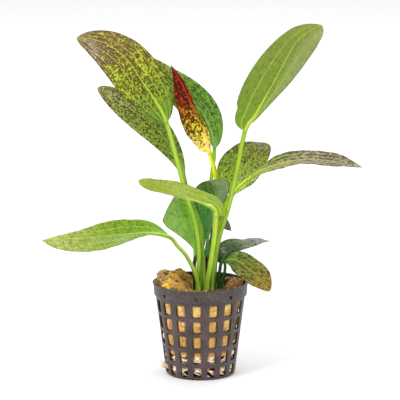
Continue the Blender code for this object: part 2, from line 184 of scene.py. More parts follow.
def wall_radius(height):
    """The outer radius of the pot's wall below the band, a straight taper."""
    return BASE_RADIUS + (WALL_TOP_RADIUS - BASE_RADIUS) * height / BAND_FOOT


def band_radius(height):
    """The outer radius of the band, a steeper taper."""
    share = (height - BAND_FOOT) / (POT_HEIGHT - BAND_FOOT)
    return BAND_FOOT_RADIUS + (BAND_TOP_RADIUS - BAND_FOOT_RADIUS) * share


def on_circle(radius, degrees, height):
    """Points at these angles round the pot, counted from -Y towards +X."""
    angle = np.radians(degrees)
    x, y = radius * np.sin(angle), -radius * np.cos(angle)
    return np.stack(np.broadcast_arrays(x, y, height), axis=-1)


def rib_rise(degrees):
    """The upright ribs between the windows stand a little proud of the bars across them."""
    from_rib = np.abs((degrees - FIRST_WINDOW_ANGLE) % COLUMN_PITCH - COLUMN_PITCH / 2)
    return RIB_PROUD * smooth_step((RIB_HALF_ANGLE - from_rib) / RIB_EDGE_ANGLE)


def window_depth(degrees, height):
    """How far inside the nearest window a place on the wall is, in millimetres, counted from the
    window's nearest edge. It is negative on the bars and ribs."""
    past_rib = (degrees - FIRST_WINDOW_ANGLE + COLUMN_PITCH / 2) % COLUMN_PITCH
    from_edge = WINDOW_ANGLE / 2 - np.abs(past_rib - COLUMN_PITCH / 2)
    sideways = np.radians(from_edge) * wall_radius(height)
    upright = np.max([
        tall / 2 - np.abs(height - bottom - tall / 2)
        for bottom, tall in zip(WINDOW_BOTTOMS, WINDOW_HEIGHTS)
    ], axis=0)
    return np.minimum(sideways, upright)


def pierced_cell(across, along, half_hole, squareness):
    """One cell of a pierced wall, as (across, along, depth) on a grid. Its outline is a
    rectangle, and its hole's outline a superellipse |x|^n + |y|^n = 1 scaled by the hole's half
    sizes, n being the squareness. The section goes from the outline over the outer skin to the
    hole, through it round a filleted edge, and back over the inner skin."""
    (a0, a1), (b0, b1) = across, along
    steps_a = SIDE_STEPS * round((a1 - a0) / COLUMN_PITCH)
    top = np.linspace(-1, 1, steps_a + 1)[:-1]
    side = np.linspace(-1, 1, SIDE_STEPS + 1)[:-1]
    x = np.concatenate([top, np.ones(SIDE_STEPS), -top, -np.ones(SIDE_STEPS)])
    y = np.concatenate([-np.ones(steps_a), side, np.ones(steps_a), -side])
    scale = (np.abs(x) ** squareness + np.abs(y) ** squareness) ** (-1 / squareness)
    middle_a, middle_b, half_a, half_b = half_hole
    outline = np.stack([(a0 + a1 + x * (a1 - a0)) / 2, (b0 + b1 + y * (b1 - b0)) / 2], axis=1)
    hole = np.stack([middle_a + half_a * x * scale, middle_b + half_b * y * scale], axis=1)
    turn = np.linspace(0, np.pi / 2, FILLET_STEPS)
    out, depth = FILLET_REACH * (1 - np.sin(turn)), FILLET_DEPTH * (1 - np.cos(turn))
    share = np.concatenate([[1, SKIN_RING], out, out[::-1], [SKIN_RING, 1]])
    depth = np.concatenate([[0, 0], depth, 1 - depth[::-1], [1, 1]]) * POT_WALL
    flat = hole[:, None] + share[:, None] * (outline - hole)[:, None]
    points = np.concatenate([flat, np.broadcast_to(depth[:, None], flat.shape[:2] + (1,))], axis=2)
    return points.transpose(1, 0, 2)


def on_wall(cell, radius_at):
    """Wraps a cell round the pot, its depth counted inwards."""
    degrees, height, depth = np.moveaxis(cell, -1, 0)
    proud = rib_rise(degrees) * (1 - depth / POT_WALL) * (height < BAND_FOOT)
    return on_circle(radius_at(height) + proud - depth, degrees, height)


def turned(profile):
    """A strip turned round the pot's axis in the windows' own steps, from (radius, height)."""
    radius, height = np.array(profile, float).T[:, :, None]
    start = FIRST_WINDOW_ANGLE - COLUMN_PITCH / 2
    degrees = start + np.arange(WINDOW_COLUMNS * SIDE_STEPS) * COLUMN_PITCH / SIDE_STEPS
    proud = rib_rise(degrees) * ((height == CELL_HEIGHTS[0]) | (height == CELL_HEIGHTS[-1]))
    outer = radius > wall_radius(height) - POT_WALL / 2
    return grid_mesh(on_circle(radius + proud * outer, degrees, height))


def pot_mesh():
    """Pierced cells for the windows, the drain holes and the floor's slots, plain cells between
    the drain holes, and turned strips that join them: the step under the band, outside and
    inside, the rim with its rolled lip, the foot, outside and inside, and the floor's middle."""
    parts = []
    rows = list(zip(WINDOW_BOTTOMS, WINDOW_HEIGHTS, CELL_HEIGHTS, CELL_HEIGHTS[1:]))
    for column in range(WINDOW_COLUMNS):
        middle = FIRST_WINDOW_ANGLE + column * COLUMN_PITCH
        edges = (middle - COLUMN_PITCH / 2, middle + COLUMN_PITCH / 2)
        for bottom, height, *cell in rows:
            window = (middle, bottom + height / 2, WINDOW_ANGLE / 2, height / 2)
            cell = pierced_cell(edges, cell, window, WINDOW_SQUARENESS)
            parts.append(grid_mesh(on_wall(cell, wall_radius)))
        if column % 2 == 0:
            half_angle = math.degrees(DRAIN_HOLE / 2 / BAND_FOOT_RADIUS)
            drain = (middle, DRAIN_HOLE_HEIGHT, half_angle, DRAIN_HOLE / 2)
            cell = pierced_cell(edges, DRAIN_CELL, drain, DRAIN_SQUARENESS)
            parts.append(grid_mesh(on_wall(cell, band_radius)))
            wide = (middle - COLUMN_PITCH, middle + COLUMN_PITCH)
            half_slot = (SLOT_RADII[1] - SLOT_RADII[0]) / 2
            slot = (middle, sum(SLOT_RADII) / 2, WINDOW_ANGLE / 2, half_slot)
            cell = pierced_cell(wide, FLOOR_CELL, slot, WINDOW_SQUARENESS)
            degrees, radius, depth = np.moveaxis(cell, -1, 0)
            parts.append(grid_mesh(on_circle(radius, degrees, depth)))
        else:
            degrees = np.linspace(*edges, SIDE_STEPS + 1)[:, None]
            height = np.linspace(*DRAIN_CELL, SIDE_STEPS + 1)
            for depth in (0, POT_WALL):
                plain_cell = on_circle(band_radius(height) - depth, degrees, height)
                parts.append(grid_mesh(plain_cell, False))
    low, high = CELL_HEIGHTS[0], CELL_HEIGHTS[-1]
    inner_low, inner_high = wall_radius(low) - POT_WALL, wall_radius(high) - POT_WALL
    step_radius = wall_radius(BAND_FOOT - 0.4)
    band_low, band_high = band_radius(DRAIN_CELL[0]), band_radius(DRAIN_CELL[1])
    lip_half = (RIM_RADIUS - (BAND_TOP_RADIUS - POT_WALL)) / 2
    lip = [
        (
            RIM_RADIUS - lip_half + lip_half * math.cos(a),
            POT_HEIGHT - LIP_DEPTH / 2 * (1 - math.sin(a)),
        )
        for a in np.radians(np.linspace(0, 180, 9))
    ]
    step = [
        (wall_radius(high), high), (step_radius, BAND_FOOT - 0.4),
        (step_radius + 0.15, BAND_FOOT - 0.15), (BAND_FOOT_RADIUS - 0.35, BAND_FOOT),
        (BAND_FOOT_RADIUS - 0.08, BAND_FOOT + 0.12), (band_low, BAND_FOOT + 0.4),
        (band_low, DRAIN_CELL[0]),
    ]
    inner_step = [
        (inner_high, high), (inner_high + 0.1, BAND_FOOT - 0.3),
        (band_low - POT_WALL - 0.2, BAND_FOOT), (band_low - POT_WALL, BAND_FOOT + 0.4),
        (band_low - POT_WALL, DRAIN_CELL[0]),
    ]
    rim = [
        (band_high, DRAIN_CELL[1]), (BAND_TOP_RADIUS, LIP_FOOT - 0.3),
        (BAND_TOP_RADIUS + 0.1, LIP_FOOT), *lip, (BAND_TOP_RADIUS - POT_WALL, LIP_FOOT - 0.2),
        (band_high - POT_WALL, DRAIN_CELL[1]),
    ]
    foot = [
        (wall_radius(low), low), (wall_radius(0.8), 0.8), (BASE_RADIUS - 0.15, 0.3),
        (BASE_RADIUS - 0.5, 0.05), (BASE_RADIUS - 1.0, 0.0), (FLOOR_CELL[1], 0.0),
    ]
    inner_foot = [(inner_low, low), (inner_low - 0.15, POT_WALL), (FLOOR_CELL[1], POT_WALL)]
    middle_radii = (FLOOR_CELL[0], FLOOR_MIDDLE_RADIUS, 0.0)
    middles = [[(radius, height) for radius in middle_radii] for height in (0.0, POT_WALL)]
    for profile in (step, inner_step, rim, foot, inner_foot, *middles):
        parts.append(turned(profile))
    return join_meshes(parts)


# Moulded polypropylene: satin, a little uneven where it cooled, with dried water marks and dust.
# Its inner face is painted almost black, as painted shade inside the pot.
pot_plastic, tree, shader = new_material("moulded_polypropylene", 0.42)
place = add(tree, "TexCoord")["Object"]
stains = add(tree, "TexNoise", {
    "Vector": place, "Scale": 1 / (9 * MM), "Detail": 5, "Roughness": 0.65,
})[0]
dust = add(tree, "TexNoise", {"Vector": place, "Scale": 1 / (0.9 * MM), "Detail": 3})[0]
stained = add(tree, "MapRange", {"Value": stains, "From Min": 0.42, "From Max": 0.64})[0]
dusty = add(tree, "MapRange", {"Value": dust, "From Min": 0.52, "From Max": 0.8})[0]
colour = add(tree, "Mix", {0: stained, 6: rgba("#302624"), 7: rgba("#4c3d3e")}, data_type="RGBA")[2]
colour = add(tree, "Mix", {0: dusty, 6: colour, 7: rgba("#66564f")}, data_type="RGBA")[2]
# Painted shade: the inner face is darkened almost to black.
inner = add(tree, "Attribute", attribute_name="inner")["Fac"]
colour = add(tree, "Mix", {0: inner, 6: colour, 7: rgba("#100b0a")}, data_type="RGBA")[2]
tree.links.new(colour, shader.inputs["Base Color"])
gloss = add(tree, "MapRange", {"Value": stains, "To Min": 0.34, "To Max": 0.56})[0]
tree.links.new(gloss, shader.inputs["Roughness"])
bump = add(tree, "Bump", {"Height": dust, "Strength": 0.3, "Distance": 0.2 * MM})[0]
tree.links.new(bump, shader.inputs["Normal"])

points, faces = pot_mesh()
# The points of the inner face, which take the painted shade.
skin_radius = np.where(points[:, 2] < BAND_FOOT, wall_radius(points[:, 2]), BAND_FOOT_RADIUS)
inner = np.linalg.norm(points[:, :2], axis=1) < skin_radius - POT_WALL / 2
net_pot = add_piece("net_pot_moulded", points, faces, pot_plastic, values={"inner": inner})
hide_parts("net_pot")

# ---------------------------------------------------------------------------------------------
# The crown and roots, grown as one piece: a short knobbly rhizome that the stalks stand on, and
# below it a mass of cream and brown roots, which are wound along the inside of the pot's wall.

CROWN_CENTRE = (3.6, -2.2)
CROWN_RADIUS = 9.6
# The radius and height at each bend of the crown's and the root mass's profiles
CROWN_PROFILE = (
    (0.0, 43.3), (4, 43.6), (7.5, 43.2), (9.2, 42.2), (CROWN_RADIUS, 40), (9.4, 36), (8.2, 26),
    (8.2, 18), (9, 13),
)
ROOTS_PROFILE = (
    (15.6, 12.4), (17.2, 10.8), (17.6, 8), (17.6, 4.5), (16.6, 2.4), (12, 1.8), (0, 1.8),
)
ROOT_MASS_STEPS = 96
ROOT_SIDES = 6
ROOT_STATIONS = 18
HIGHEST_ROOT = 44


def lattice_noise(points, size, seed):
    """Smooth noise from -1 to 1. Each corner of a cubic lattice of this size has a value hashed
    from its whole-number place, and a point's value is the smooth-stepped blend of its eight
    corners."""
    cell = np.floor(points / size)
    inside = points / size - cell
    weight = inside * inside * (3 - 2 * inside)
    total = np.zeros(points.shape[:-1])
    for corner in np.ndindex(2, 2, 2):
        place = cell + corner
        mixed = np.sin(place @ np.array([127.1, 311.7, 74.7]) + seed * 17.3) * 43758.5453
        value = 2 * (mixed - np.floor(mixed)) - 1
        total += value * np.prod(np.where(corner, weight, 1 - weight), axis=-1)
    return total


def unit(vectors):
    """The vectors, each divided by its length."""
    return vectors / np.maximum(np.linalg.norm(vectors, axis=-1, keepdims=True), 1e-9)


def tubes(paths, radii, sides):
    """Round tubes along paths, an array (tube, station, 3), with a radius at each station. Each
    cross-section is a circle square to the path. The ends are left open, and come to a point only
    where the radius there is nought."""
    tangent = unit(np.gradient(paths, axis=1))
    helper = np.where(np.abs(tangent[..., 2:]) < 0.8, (0, 0, 1), (1, 0, 0))
    side = unit(np.cross(tangent, helper))
    up = np.cross(side, tangent)
    angle = np.linspace(0, 2 * np.pi, sides, endpoint=False)[:, None]
    ring = np.cos(angle) * side[:, :, None] + np.sin(angle) * up[:, :, None]
    points = paths[:, :, None] + radii[:, :, None, None] * ring
    faces = grid_faces(paths.shape[1], sides, True)
    starts = np.arange(len(paths))[:, None, None] * paths.shape[1] * sides
    return points.reshape(-1, 3), (faces + starts).reshape(-1, 4)


def root_mass():
    """The crown, its neck and the matted roots: circles stacked along a profile, with lumps of
    lattice noise pushed out from the axis."""
    places = [(*CROWN_CENTRE, *pair) for pair in CROWN_PROFILE]
    places += [(0, 0, *pair) for pair in ROOTS_PROFILE]
    bends = np.arange(len(places))
    rows = np.linspace(0, len(places) - 1, 5 * len(places))
    x, y, radius, height = [np.interp(rows, bends, line)[:, None] for line in zip(*places)]
    points = on_circle(radius, np.arange(ROOT_MASS_STEPS) * 360 / ROOT_MASS_STEPS, height)
    lumps = 0.9 * lattice_noise(points, 4.1, 1) + 0.4 * lattice_noise(points, 1.7, 2)
    points *= 1 + (lumps / np.maximum(radius, 6))[..., None] * (1, 1, 0)
    points += np.concatenate([x, y, 0 * x], axis=1)[:, None]
    return grid_mesh(points)


def wall_roots(count, lowest, highest, reach, rise, thickness, seed):
    """Roots that have grown along the inside of the wall: each goes round by its reach in
    degrees and up or down by its rise, wandering on a slow sine, and tapers to its tip."""
    draw = np.random.default_rng(seed)
    t = np.linspace(0, 1, ROOT_STATIONS)
    start, length = draw.uniform(0, 360, (count, 1)), draw.uniform(0.4, 1, (count, 1)) * reach
    base = draw.uniform(lowest, highest, (count, 1))
    climb = draw.uniform(-1, 1, (count, 1)) * rise
    phase, wander = draw.uniform(0, 2 * np.pi, (2, count, 1)), draw.uniform(0.3, 1.3, (count, 1))
    height = base + climb * t + wander * np.sin(5 * t + phase[0])
    height = np.clip(height, POT_WALL + 0.5, HIGHEST_ROOT)
    taper = (1 - 0.7 * t**2) * smooth_step(8 * (1 - t)) * smooth_step(40 * t)
    width = thickness * draw.uniform(0.5, 1, (count, 1)) * taper
    depth = width + draw.uniform(0.05, 0.5, (count, 1)) * (1 + np.sin(4 * t + phase[1])) / 2
    degrees = start + length * t
    bulge = 1.05 * smooth_step((window_depth(degrees, height) - width) / 1.2)
    paths = on_circle(wall_radius(height) - POT_WALL - 0.1 - depth + bulge, degrees, height)
    shade = np.repeat(draw.uniform(0, 1, count), ROOT_STATIONS * ROOT_SIDES)
    return *tubes(paths, width, ROOT_SIDES), shade


# Living root: cream to pinkish straw where fresh, red-brown where old, damp and finely ridged.
root_skin, tree, shader = new_material("living_root", 0.5)
shade = add(tree, "Attribute", attribute_name="shade")["Fac"]
place = add(tree, "TexCoord")["Object"]
patches = add(tree, "TexNoise", {"Vector": place, "Scale": 1 / (2.5 * MM), "Detail": 4})[0]
old = add(tree, "MapRange", {"Value": shade, "From Min": 0.62, "From Max": 0.7})[0]
brown = add(tree, "MapRange", {"Value": patches, "From Min": 0.5, "From Max": 0.68})[0]
fresh = add(tree, "Mix", {0: brown, 6: rgba("#fae6c6"), 7: rgba("#e6b08e")}, data_type="RGBA")[2]
worn = add(tree, "Mix", {0: brown, 6: rgba("#6e3220"), 7: rgba("#35130d")}, data_type="RGBA")[2]
colour = add(tree, "Mix", {0: old, 6: fresh, 7: worn}, data_type="RGBA")[2]
tree.links.new(colour, shader.inputs["Base Color"])
bump = add(tree, "Bump", {"Height": patches, "Strength": 0.5, "Distance": 0.3 * MM})[0]
tree.links.new(bump, shader.inputs["Normal"])

# The matted mass is old. Round it go thick roots, thinner ones, and fine ones higher up, which
# are the freshest. Each kind has its share of the shade, in which old roots are above two thirds.
parts = [root_mass()]
shades = [np.full(len(parts[0][0]), 0.9)]
for root_kind, freshness in (
    ((44, 2, 15, 34, 7, 1.7, 13), 0.75),
    ((80, 2, 15, 70, 8, 0.7, 11), 1.0),
    ((52, 15, 36, 26, 12, 0.36, 12), 0.3),
):
    *part, shade = wall_roots(*root_kind)
    parts.append(part)
    shades.append(shade * freshness)
roots = add_piece(
    "crown_and_root_mass", *join_meshes(parts), root_skin, values={"shade": np.concatenate(shades)}
)
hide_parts("crown_and_roots")

STRAY_ANGLE = FIRST_WINDOW_ANGLE - 3 * COLUMN_PITCH
TUFT_STATIONS = 14


def stray_tuft(count, seed):
    """The tuft that has grown out through a low window: thin roots that start together inside
    the window, fan out in its last third and curl at their tips."""
    draw = np.random.default_rng(seed)
    t = np.linspace(0, 1, TUFT_STATIONS)
    fan = draw.normal(0, 1, (2, count, 1)) * t**1.6
    bend = draw.uniform(-1, 1, (2, count, 1))
    curl = bend * np.sin(5 * t + draw.uniform(0, 6, (count, 1))) * t**2
    reach = 18 + draw.uniform(4, 6.6, (count, 1)) * t
    height = 4.4 + 0.4 * draw.normal(0, 1, (count, 1)) + 2.6 * t**2 + 0.9 * fan[0] + 0.4 * curl[0]
    degrees = STRAY_ANGLE + 2.3 * draw.normal(0, 1, (count, 1)) * (1 - t)
    degrees = degrees + 2.2 * fan[1] + 1.4 * curl[1]
    radii = draw.uniform(0.18, 0.34, (count, 1)) * (1 - 0.8 * t**3) * smooth_step(20 * (1 - t))
    points, faces = tubes(on_circle(reach, degrees, height), radii, ROOT_SIDES)
    return points, faces, np.repeat(draw.uniform(0, 0.55, count), TUFT_STATIONS * ROOT_SIDES)


points, faces, shades = stray_tuft(26, 5)
tuft = add_piece("stray_root_tuft", points, faces, root_skin, values={"shade": shades})
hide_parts("stray_roots")

# ---------------------------------------------------------------------------------------------
# The mineral wool: two torn pads of ochre rock fibre, pressed round the crown by hand. They are
# damp, matted and browned, with loose fibres and bits of moss, and the left one laps the rim.

WOOL_BOTTOM = 13.1
WOOL_GAP = 0.25
WOOL_NECK = 47.9
WOOL_WAIST = 30
WOOL_SECTION_STEPS = 150
WOOL_DEGREES_A_STEP = 0.9
# Each pad starts and ends at these angles. The heights of its crest and of its shoulder follow at
# even steps from the one to the other, then its seed and the colour of its top.
WOOL_PADS = {
    "wool_left": (8.8, -176, (
        (52.5, 51), (52.5, 51), (53, 51.5), (54, 53), (56, 54.8), (58, 57), (58.6, 57), (57, 55.5),
        (51.5, 50.5), (46.5, 46),
    ), 21, "#b2944e"),
    "wool_right": (3.8, 181, (
        (52.5, 51), (53, 51), (54.5, 51), (56.3, 51), (56, 51.5), (52, 50.5), (48.5, 48),
        (46.5, 46),
    ), 31, "#5c3e16"),
}
# Each tuft of a pad's top: its place in plan, its size, its rise and its colour
WOOL_TUFTS = {
    "wool_left": (
        (-15, -3, 7, 0.4, "#d8ae44"), (-23.5, 3, 4.0, -1.2, "#d8b585"),
        (-18, -15, 3.8, 1.2, "#f8c63c"), (-11, -18, 3.6, 0.2, "#c79a34"),
        (-9.5, -15.5, 1.5, -2.2, "#2a1f12"), (-15, -12, 1.4, -1.4, "#5c4620"),
        (-5, -12.5, 2.8, 0.9, "#dcb680"), (-3.2, -13, 1.1, -0.4, "#6e1a14"),
        (-12.5, 9, 1.6, 1.0, "#47421f"), (-8, 11, 5, 1.6, "#a08436"), (-18, 7, 3, -1.9, "#5c421c"),
        (-24.5, -7, 2.4, 0.6, "#8a6a40"), (-9.5, -7, 3.6, 1.4, "#c29a3e"),
    ),
    "wool_right": (
        (18, -7, 5.5, 0.8, "#84602a"), (15, 0, 2.4, 0.3, "#844a1c"),
        (9.5, -11, 3.6, -0.8, "#3d2620"), (22, 2, 3, 0, "#8f6a38"), (12, 6, 4, -0.5, "#40291c"),
    ),
}
# Over the rim nothing holds the wool in.
NO_WALL = 40
FIBRES_A_PAD = 900
# A real fibre is far thinner, too fine to show.
FIBRE_RADIUS = 0.09
FIBRE_STATIONS = 7


def wool_sections(first, last, tops):
    """The pad's cross-sections as closed outlines in upright planes round the pot, (section,
    corner, 3): from the foot of the crown out along the bottom, up the wall, over the shoulder
    and the crest, and down beside the crown. The crest's and shoulder's heights are read from
    the tops at even steps."""
    count = int(abs(last - first) / WOOL_DEGREES_A_STEP)
    share = np.linspace(0, 1, count)
    degrees = first + (last - first) * share
    stops = np.linspace(0, 1, len(tops))
    crest, shoulder = [np.interp(share, stops, column) for column in zip(*tops)]
    angle = np.radians(degrees)
    away = np.stack([np.sin(angle), -np.cos(angle)], axis=1)
    to_crown = away @ np.array(CROWN_CENTRE)
    offset = np.dot(CROWN_CENTRE, CROWN_CENTRE)
    inner = to_crown + np.sqrt((CROWN_RADIUS + WOOL_GAP) ** 2 - offset + to_crown**2)
    foot = wall_radius(WOOL_BOTTOM) - POT_WALL - WOOL_GAP
    neck = wall_radius(BAND_FOOT) - POT_WALL - WOOL_GAP
    bulged = neck + 1.5 * smooth_step((shoulder - WOOL_NECK) / 2.5)
    lapped = bulged + 1.6 * smooth_step((shoulder - POT_HEIGHT) / 3)
    low = np.minimum(WOOL_NECK, shoulder - 0.3)
    corners = [
        (inner, WOOL_BOTTOM), (foot, WOOL_BOTTOM), (neck, low),
        (bulged, low + 0.55 * (shoulder - low)), (lapped, shoulder), ((inner + neck) / 2, crest),
        (inner + 0.3, WOOL_NECK - 1), (inner, WOOL_WAIST), (inner, WOOL_BOTTOM),
    ]
    return np.stack([on_circle(radius, degrees, height) for radius, height in corners], axis=1)


def wool_pad(first, last, tops, tufts, seed):
    """Each outline is resampled at even steps of its length and rounded by a short moving
    average. Lumps of lattice noise in four sizes are pushed out along the surface's normal, and
    on the top creases sink where a slow noise is near zero, and each tuft rises or sinks as a
    Gaussian of the distance in plan. The pad's two ends are drawn in to a point. It is kept
    inside the pot, and swells into its windows but for those at the sides, where it has come
    away from the wall."""
    corners = wool_sections(first, last, tops)
    length = np.linalg.norm(np.diff(corners, axis=1), axis=2)
    reach = np.concatenate([np.zeros((len(corners), 1)), np.cumsum(length, axis=1)], axis=1)
    steps = np.linspace(0, 1, WOOL_SECTION_STEPS, endpoint=False)
    rings = np.array([
        [np.interp(steps * far[-1], far, axis) for axis in outline.T]
        for outline, far in zip(corners, reach)
    ]).transpose(0, 2, 1)
    rings = sum(np.roll(rings, shift, axis=1) for shift in range(-3, 4)) / 7
    ends = smooth_step(np.minimum(np.arange(len(rings)), np.arange(len(rings))[::-1]) / 3) ** 0.5
    middle = rings.mean(axis=1, keepdims=True)
    rings = middle + (rings - middle) * ends[:, None, None]
    around = np.roll(rings, -1, axis=1) - np.roll(rings, 1, axis=1)
    normal = unit(np.cross(np.gradient(rings, axis=0), around)) * math.copysign(1, last - first)
    lumps = 1.3 * lattice_noise(rings, 6.5, seed) + 0.7 * lattice_noise(rings, 2.6, seed + 1)
    lumps += 0.3 * lattice_noise(rings, 1.1, seed + 2)
    lumps += 0.16 * lattice_noise(rings, 0.55, seed + 3)
    top = smooth_step((rings[..., 2] - BAND_FOOT) / 4)
    creases = top * smooth_step(1 - np.abs(lattice_noise(rings, 4.4, seed + 4)) / 0.13)
    raised = lumps * (0.25 + 0.95 * top) - 0.9 * creases
    for x, y, size, rise, colour in tufts:
        squared = (rings[..., 0] - x) ** 2 + (rings[..., 1] - y) ** 2
        raised += rise * top * np.exp(-squared / size**2)
    rings = rings + normal * (raised * ends[:, None])[..., None]
    radius, height = np.linalg.norm(rings[..., :2], axis=2), rings[..., 2]
    degrees = np.degrees(np.arctan2(rings[..., 0], -rings[..., 1]))
    wall = wall_radius(height) - POT_WALL
    from_front = np.abs(degrees)
    drawn_in = 1.6 * smooth_step((from_front - 56) / 8) * smooth_step((120 - from_front) / 10)
    swelling = smooth_step((window_depth(degrees, height) - 0.15) / 0.7)
    moved = np.where(height < BAND_FOOT, swelling - drawn_in, 0)
    moved = moved * smooth_step((radius - wall + 3) / 2)
    most = np.where(height < BAND_FOOT, wall - 0.12 + swelling, BAND_FOOT_RADIUS - POT_WALL - 0.2)
    most = np.where(height > POT_HEIGHT + 0.3, NO_WALL, most)
    rings[..., :2] *= (np.minimum(radius + moved, most) / np.maximum(radius, 1))[..., None]
    return rings, normal, creases


def wool_fibres(rings, normal, seed):
    """Loose fibres: each starts on the pad, runs along it in a chance direction, bends on an
    arc and lifts off a little at its ends."""
    draw = np.random.default_rng(seed)
    count = FIBRES_A_PAD
    row = draw.integers(4, len(rings) - 4, count)
    column = draw.integers(0, WOOL_SECTION_STEPS, count)
    start, away = rings[row, column], normal[row, column]
    heading = unit(np.cross(away, draw.normal(0, 1, (count, 3))))
    bend = np.cross(away, heading) * draw.normal(0, 1, (count, 1))
    t = np.linspace(-1, 1, FIBRE_STATIONS)[None, :, None]
    half = draw.uniform(1.2, 3.4, (count, 1, 1))
    lift = 0.12 + 0.35 * draw.uniform(0, 1, (count, 1, 1)) * t**2
    paths = start[:, None] + heading[:, None] * half * t + 0.6 * bend[:, None] * t**2
    paths = paths + away[:, None] * lift
    inside = np.linalg.norm(paths[..., :2], axis=2)
    degrees = np.degrees(np.arctan2(paths[..., 0], -paths[..., 1]))
    open_wall = smooth_step((window_depth(degrees, paths[..., 2]) - 0.2) / 0.9)
    most = wall_radius(paths[..., 2]) - POT_WALL - 0.05 + open_wall
    most = np.where(paths[..., 2] > BAND_FOOT, BAND_FOOT_RADIUS - POT_WALL - 0.1, most)
    most = np.where(paths[..., 2] > POT_HEIGHT, NO_WALL, most)
    paths[..., :2] *= np.minimum(1, most / np.maximum(inside, 1))[..., None]
    radii = FIBRE_RADIUS * (1 - 0.6 * t[..., 0] ** 2)
    return tubes(paths, np.repeat(radii, count, axis=0), 3)


# Rock-mineral wool, damp: matt ochre fibre, browned in patches, lighter and darker along its grain.
# Its grain is drawn at half a millimetre, because the real fibre is too fine to show.
rock_wool, tree, shader = new_material("damp_mineral_wool", 0.85)
place = add(tree, "TexCoord")["Object"]
browned = add(tree, "TexNoise", {
    "Vector": place, "Scale": 1 / (5 * MM), "Detail": 6, "Roughness": 0.62,
})[0]
fibre_space = add(tree, "Mapping", {"Vector": place, "Scale": (1, 1, 2.6)})[0]
fibres = add(tree, "TexNoise", {
    "Vector": fibre_space, "Scale": 1 / (0.55 * MM), "Detail": 4, "Distortion": 0.8,
})[0]
tint = add(tree, "Attribute", attribute_name="tint")["Color"]
wear = add(tree, "MapRange", {"Value": browned, "From Min": 0.36, "From Max": 0.6})[0]
dry = add(tree, "MapRange", {
    "Value": fibres, "From Min": 0.4, "From Max": 0.72, "To Min": 0.62, "To Max": 1.3,
})[0]
browner = {0: 1.0, 6: tint, 7: rgba("#dfc09a")}
browner = add(tree, "Mix", browner, data_type="RGBA", blend_type="MULTIPLY")[2]
colour = add(tree, "Mix", {0: wear, 6: browner, 7: tint}, data_type="RGBA")[2]
colour = add(tree, "VectorMath", (colour, dry), operation="MULTIPLY")[0]
tree.links.new(colour, shader.inputs["Base Color"])
bump = add(tree, "Bump", {"Height": fibres, "Strength": 0.8, "Distance": 0.5 * MM})[0]
tree.links.new(bump, shader.inputs["Normal"])

# The wool behind the windows is clean, and a little browner low down. That in the pot's mouth is
# stained by its tufts, and has pale dry spots and dark moss spots, and its creases are painted
# dark as shade.
CLEAN_WOOL, LOW_WOOL = linear("#ffd985"), linear("#e0b468")
# The dark one is the moss's colour and also the painted shade of the creases.
DRY_WOOL, MOSS_AND_CREASE_SHADE = linear("#f0d08a"), linear("#3d2c14")
STAIN_STRENGTH = 1.62


def wool_tints(points, creases, tufts, ground, seed):
    """The colour at each point of a pad and its fibres. A tuft's colour goes round it as
    exp(-(r / 1.15 size)^3), and the spots are thresholds of lattice noise. The creases are painted
    dark as shade."""
    top = smooth_step((points[:, 2:] - BAND_FOOT) / 4)
    stain = np.broadcast_to(linear(ground), points.shape)
    for x, y, size, rise, colour in tufts:
        distance = ((points[:, :1] - x) ** 2 + (points[:, 1:2] - y) ** 2) / (size * 1.15) ** 2
        stain = stain + np.exp(-(distance**1.5)) * (linear(colour) - stain)
    clean = CLEAN_WOOL + smooth_step((38 - points[:, 2:]) / 10) * (LOW_WOOL - CLEAN_WOOL)
    tints = clean + top * (stain * STAIN_STRENGTH - clean)
    pale = smooth_step((lattice_noise(points, 1.6, seed + 8)[:, None] - 0.1) / 0.35) * top * 0.6
    tints = tints + pale * (DRY_WOOL - tints)
    dark = smooth_step((lattice_noise(points, 1.9, seed + 9)[:, None] - 0.3) / 0.2) * top * 0.75
    # Painted shade: the creases are darkened toward the moss colour.
    dark[: creases.size] = np.maximum(dark[: creases.size], 0.8 * creases.reshape(-1, 1))
    return tints + dark * (MOSS_AND_CREASE_SHADE - tints)


for name, (first, last, tops, seed, ground) in WOOL_PADS.items():
    rings, normal, creases = wool_pad(first, last, tops, WOOL_TUFTS[name], seed)
    points, faces = join_meshes([grid_mesh(rings), wool_fibres(rings, normal, seed + 5)])
    tints = wool_tints(points, creases, WOOL_TUFTS[name], ground, seed)
    wool = add_piece(name + "_torn_pad", points, faces, rock_wool, colours={"tint": tints})
    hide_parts(name)

# ---------------------------------------------------------------------------------------------
# The leaves: each a blade grown in one with its stalk, from the crown to the tip. The blade is
# a thin waxy sheet, folded a little along its rib and puffed up between its curved side veins.

PATH_STEPS = 60
STALK_ROWS = 46
BLADE_ROWS = 96
BLADE_THICKNESS = 0.45
# Where each skin's side veins run, as shares of the blade's half width, and how clearly they show
SIDE_VEINS = {
    "leaf_mottled": ((0.36, 0.85), (0.7, 0.7)),
    "fine_mottled": ((0.36, 0.5), (0.7, 0.4)),
    "leaf_plain": ((0.47, 0.8),),
    "leaf_dark": ((0.36, 0.5), (0.7, 0.4)),
    "leaf_red": ((0.55, 0.3),),
}
VEIN_DEPTH = 0.16
PUCKER_RISE = 0.16
EDGE_WAVE = 0.5
EDGE_WAVES = 2.0
EDGE_FRILL = 0.12
FOLD_ROUNDING = 1.5
STALK_FLARE = 0.3
FLARE_LENGTH = 12
STALK_GROOVE = 0.22
# The rib's radius where it has left the stalk behind, and how much less it is at the tip
RIB_RADIUS = 0.38
RIB_TAPER = 0.14
BLADE_POINTS = 15
RIB_POINTS = 7


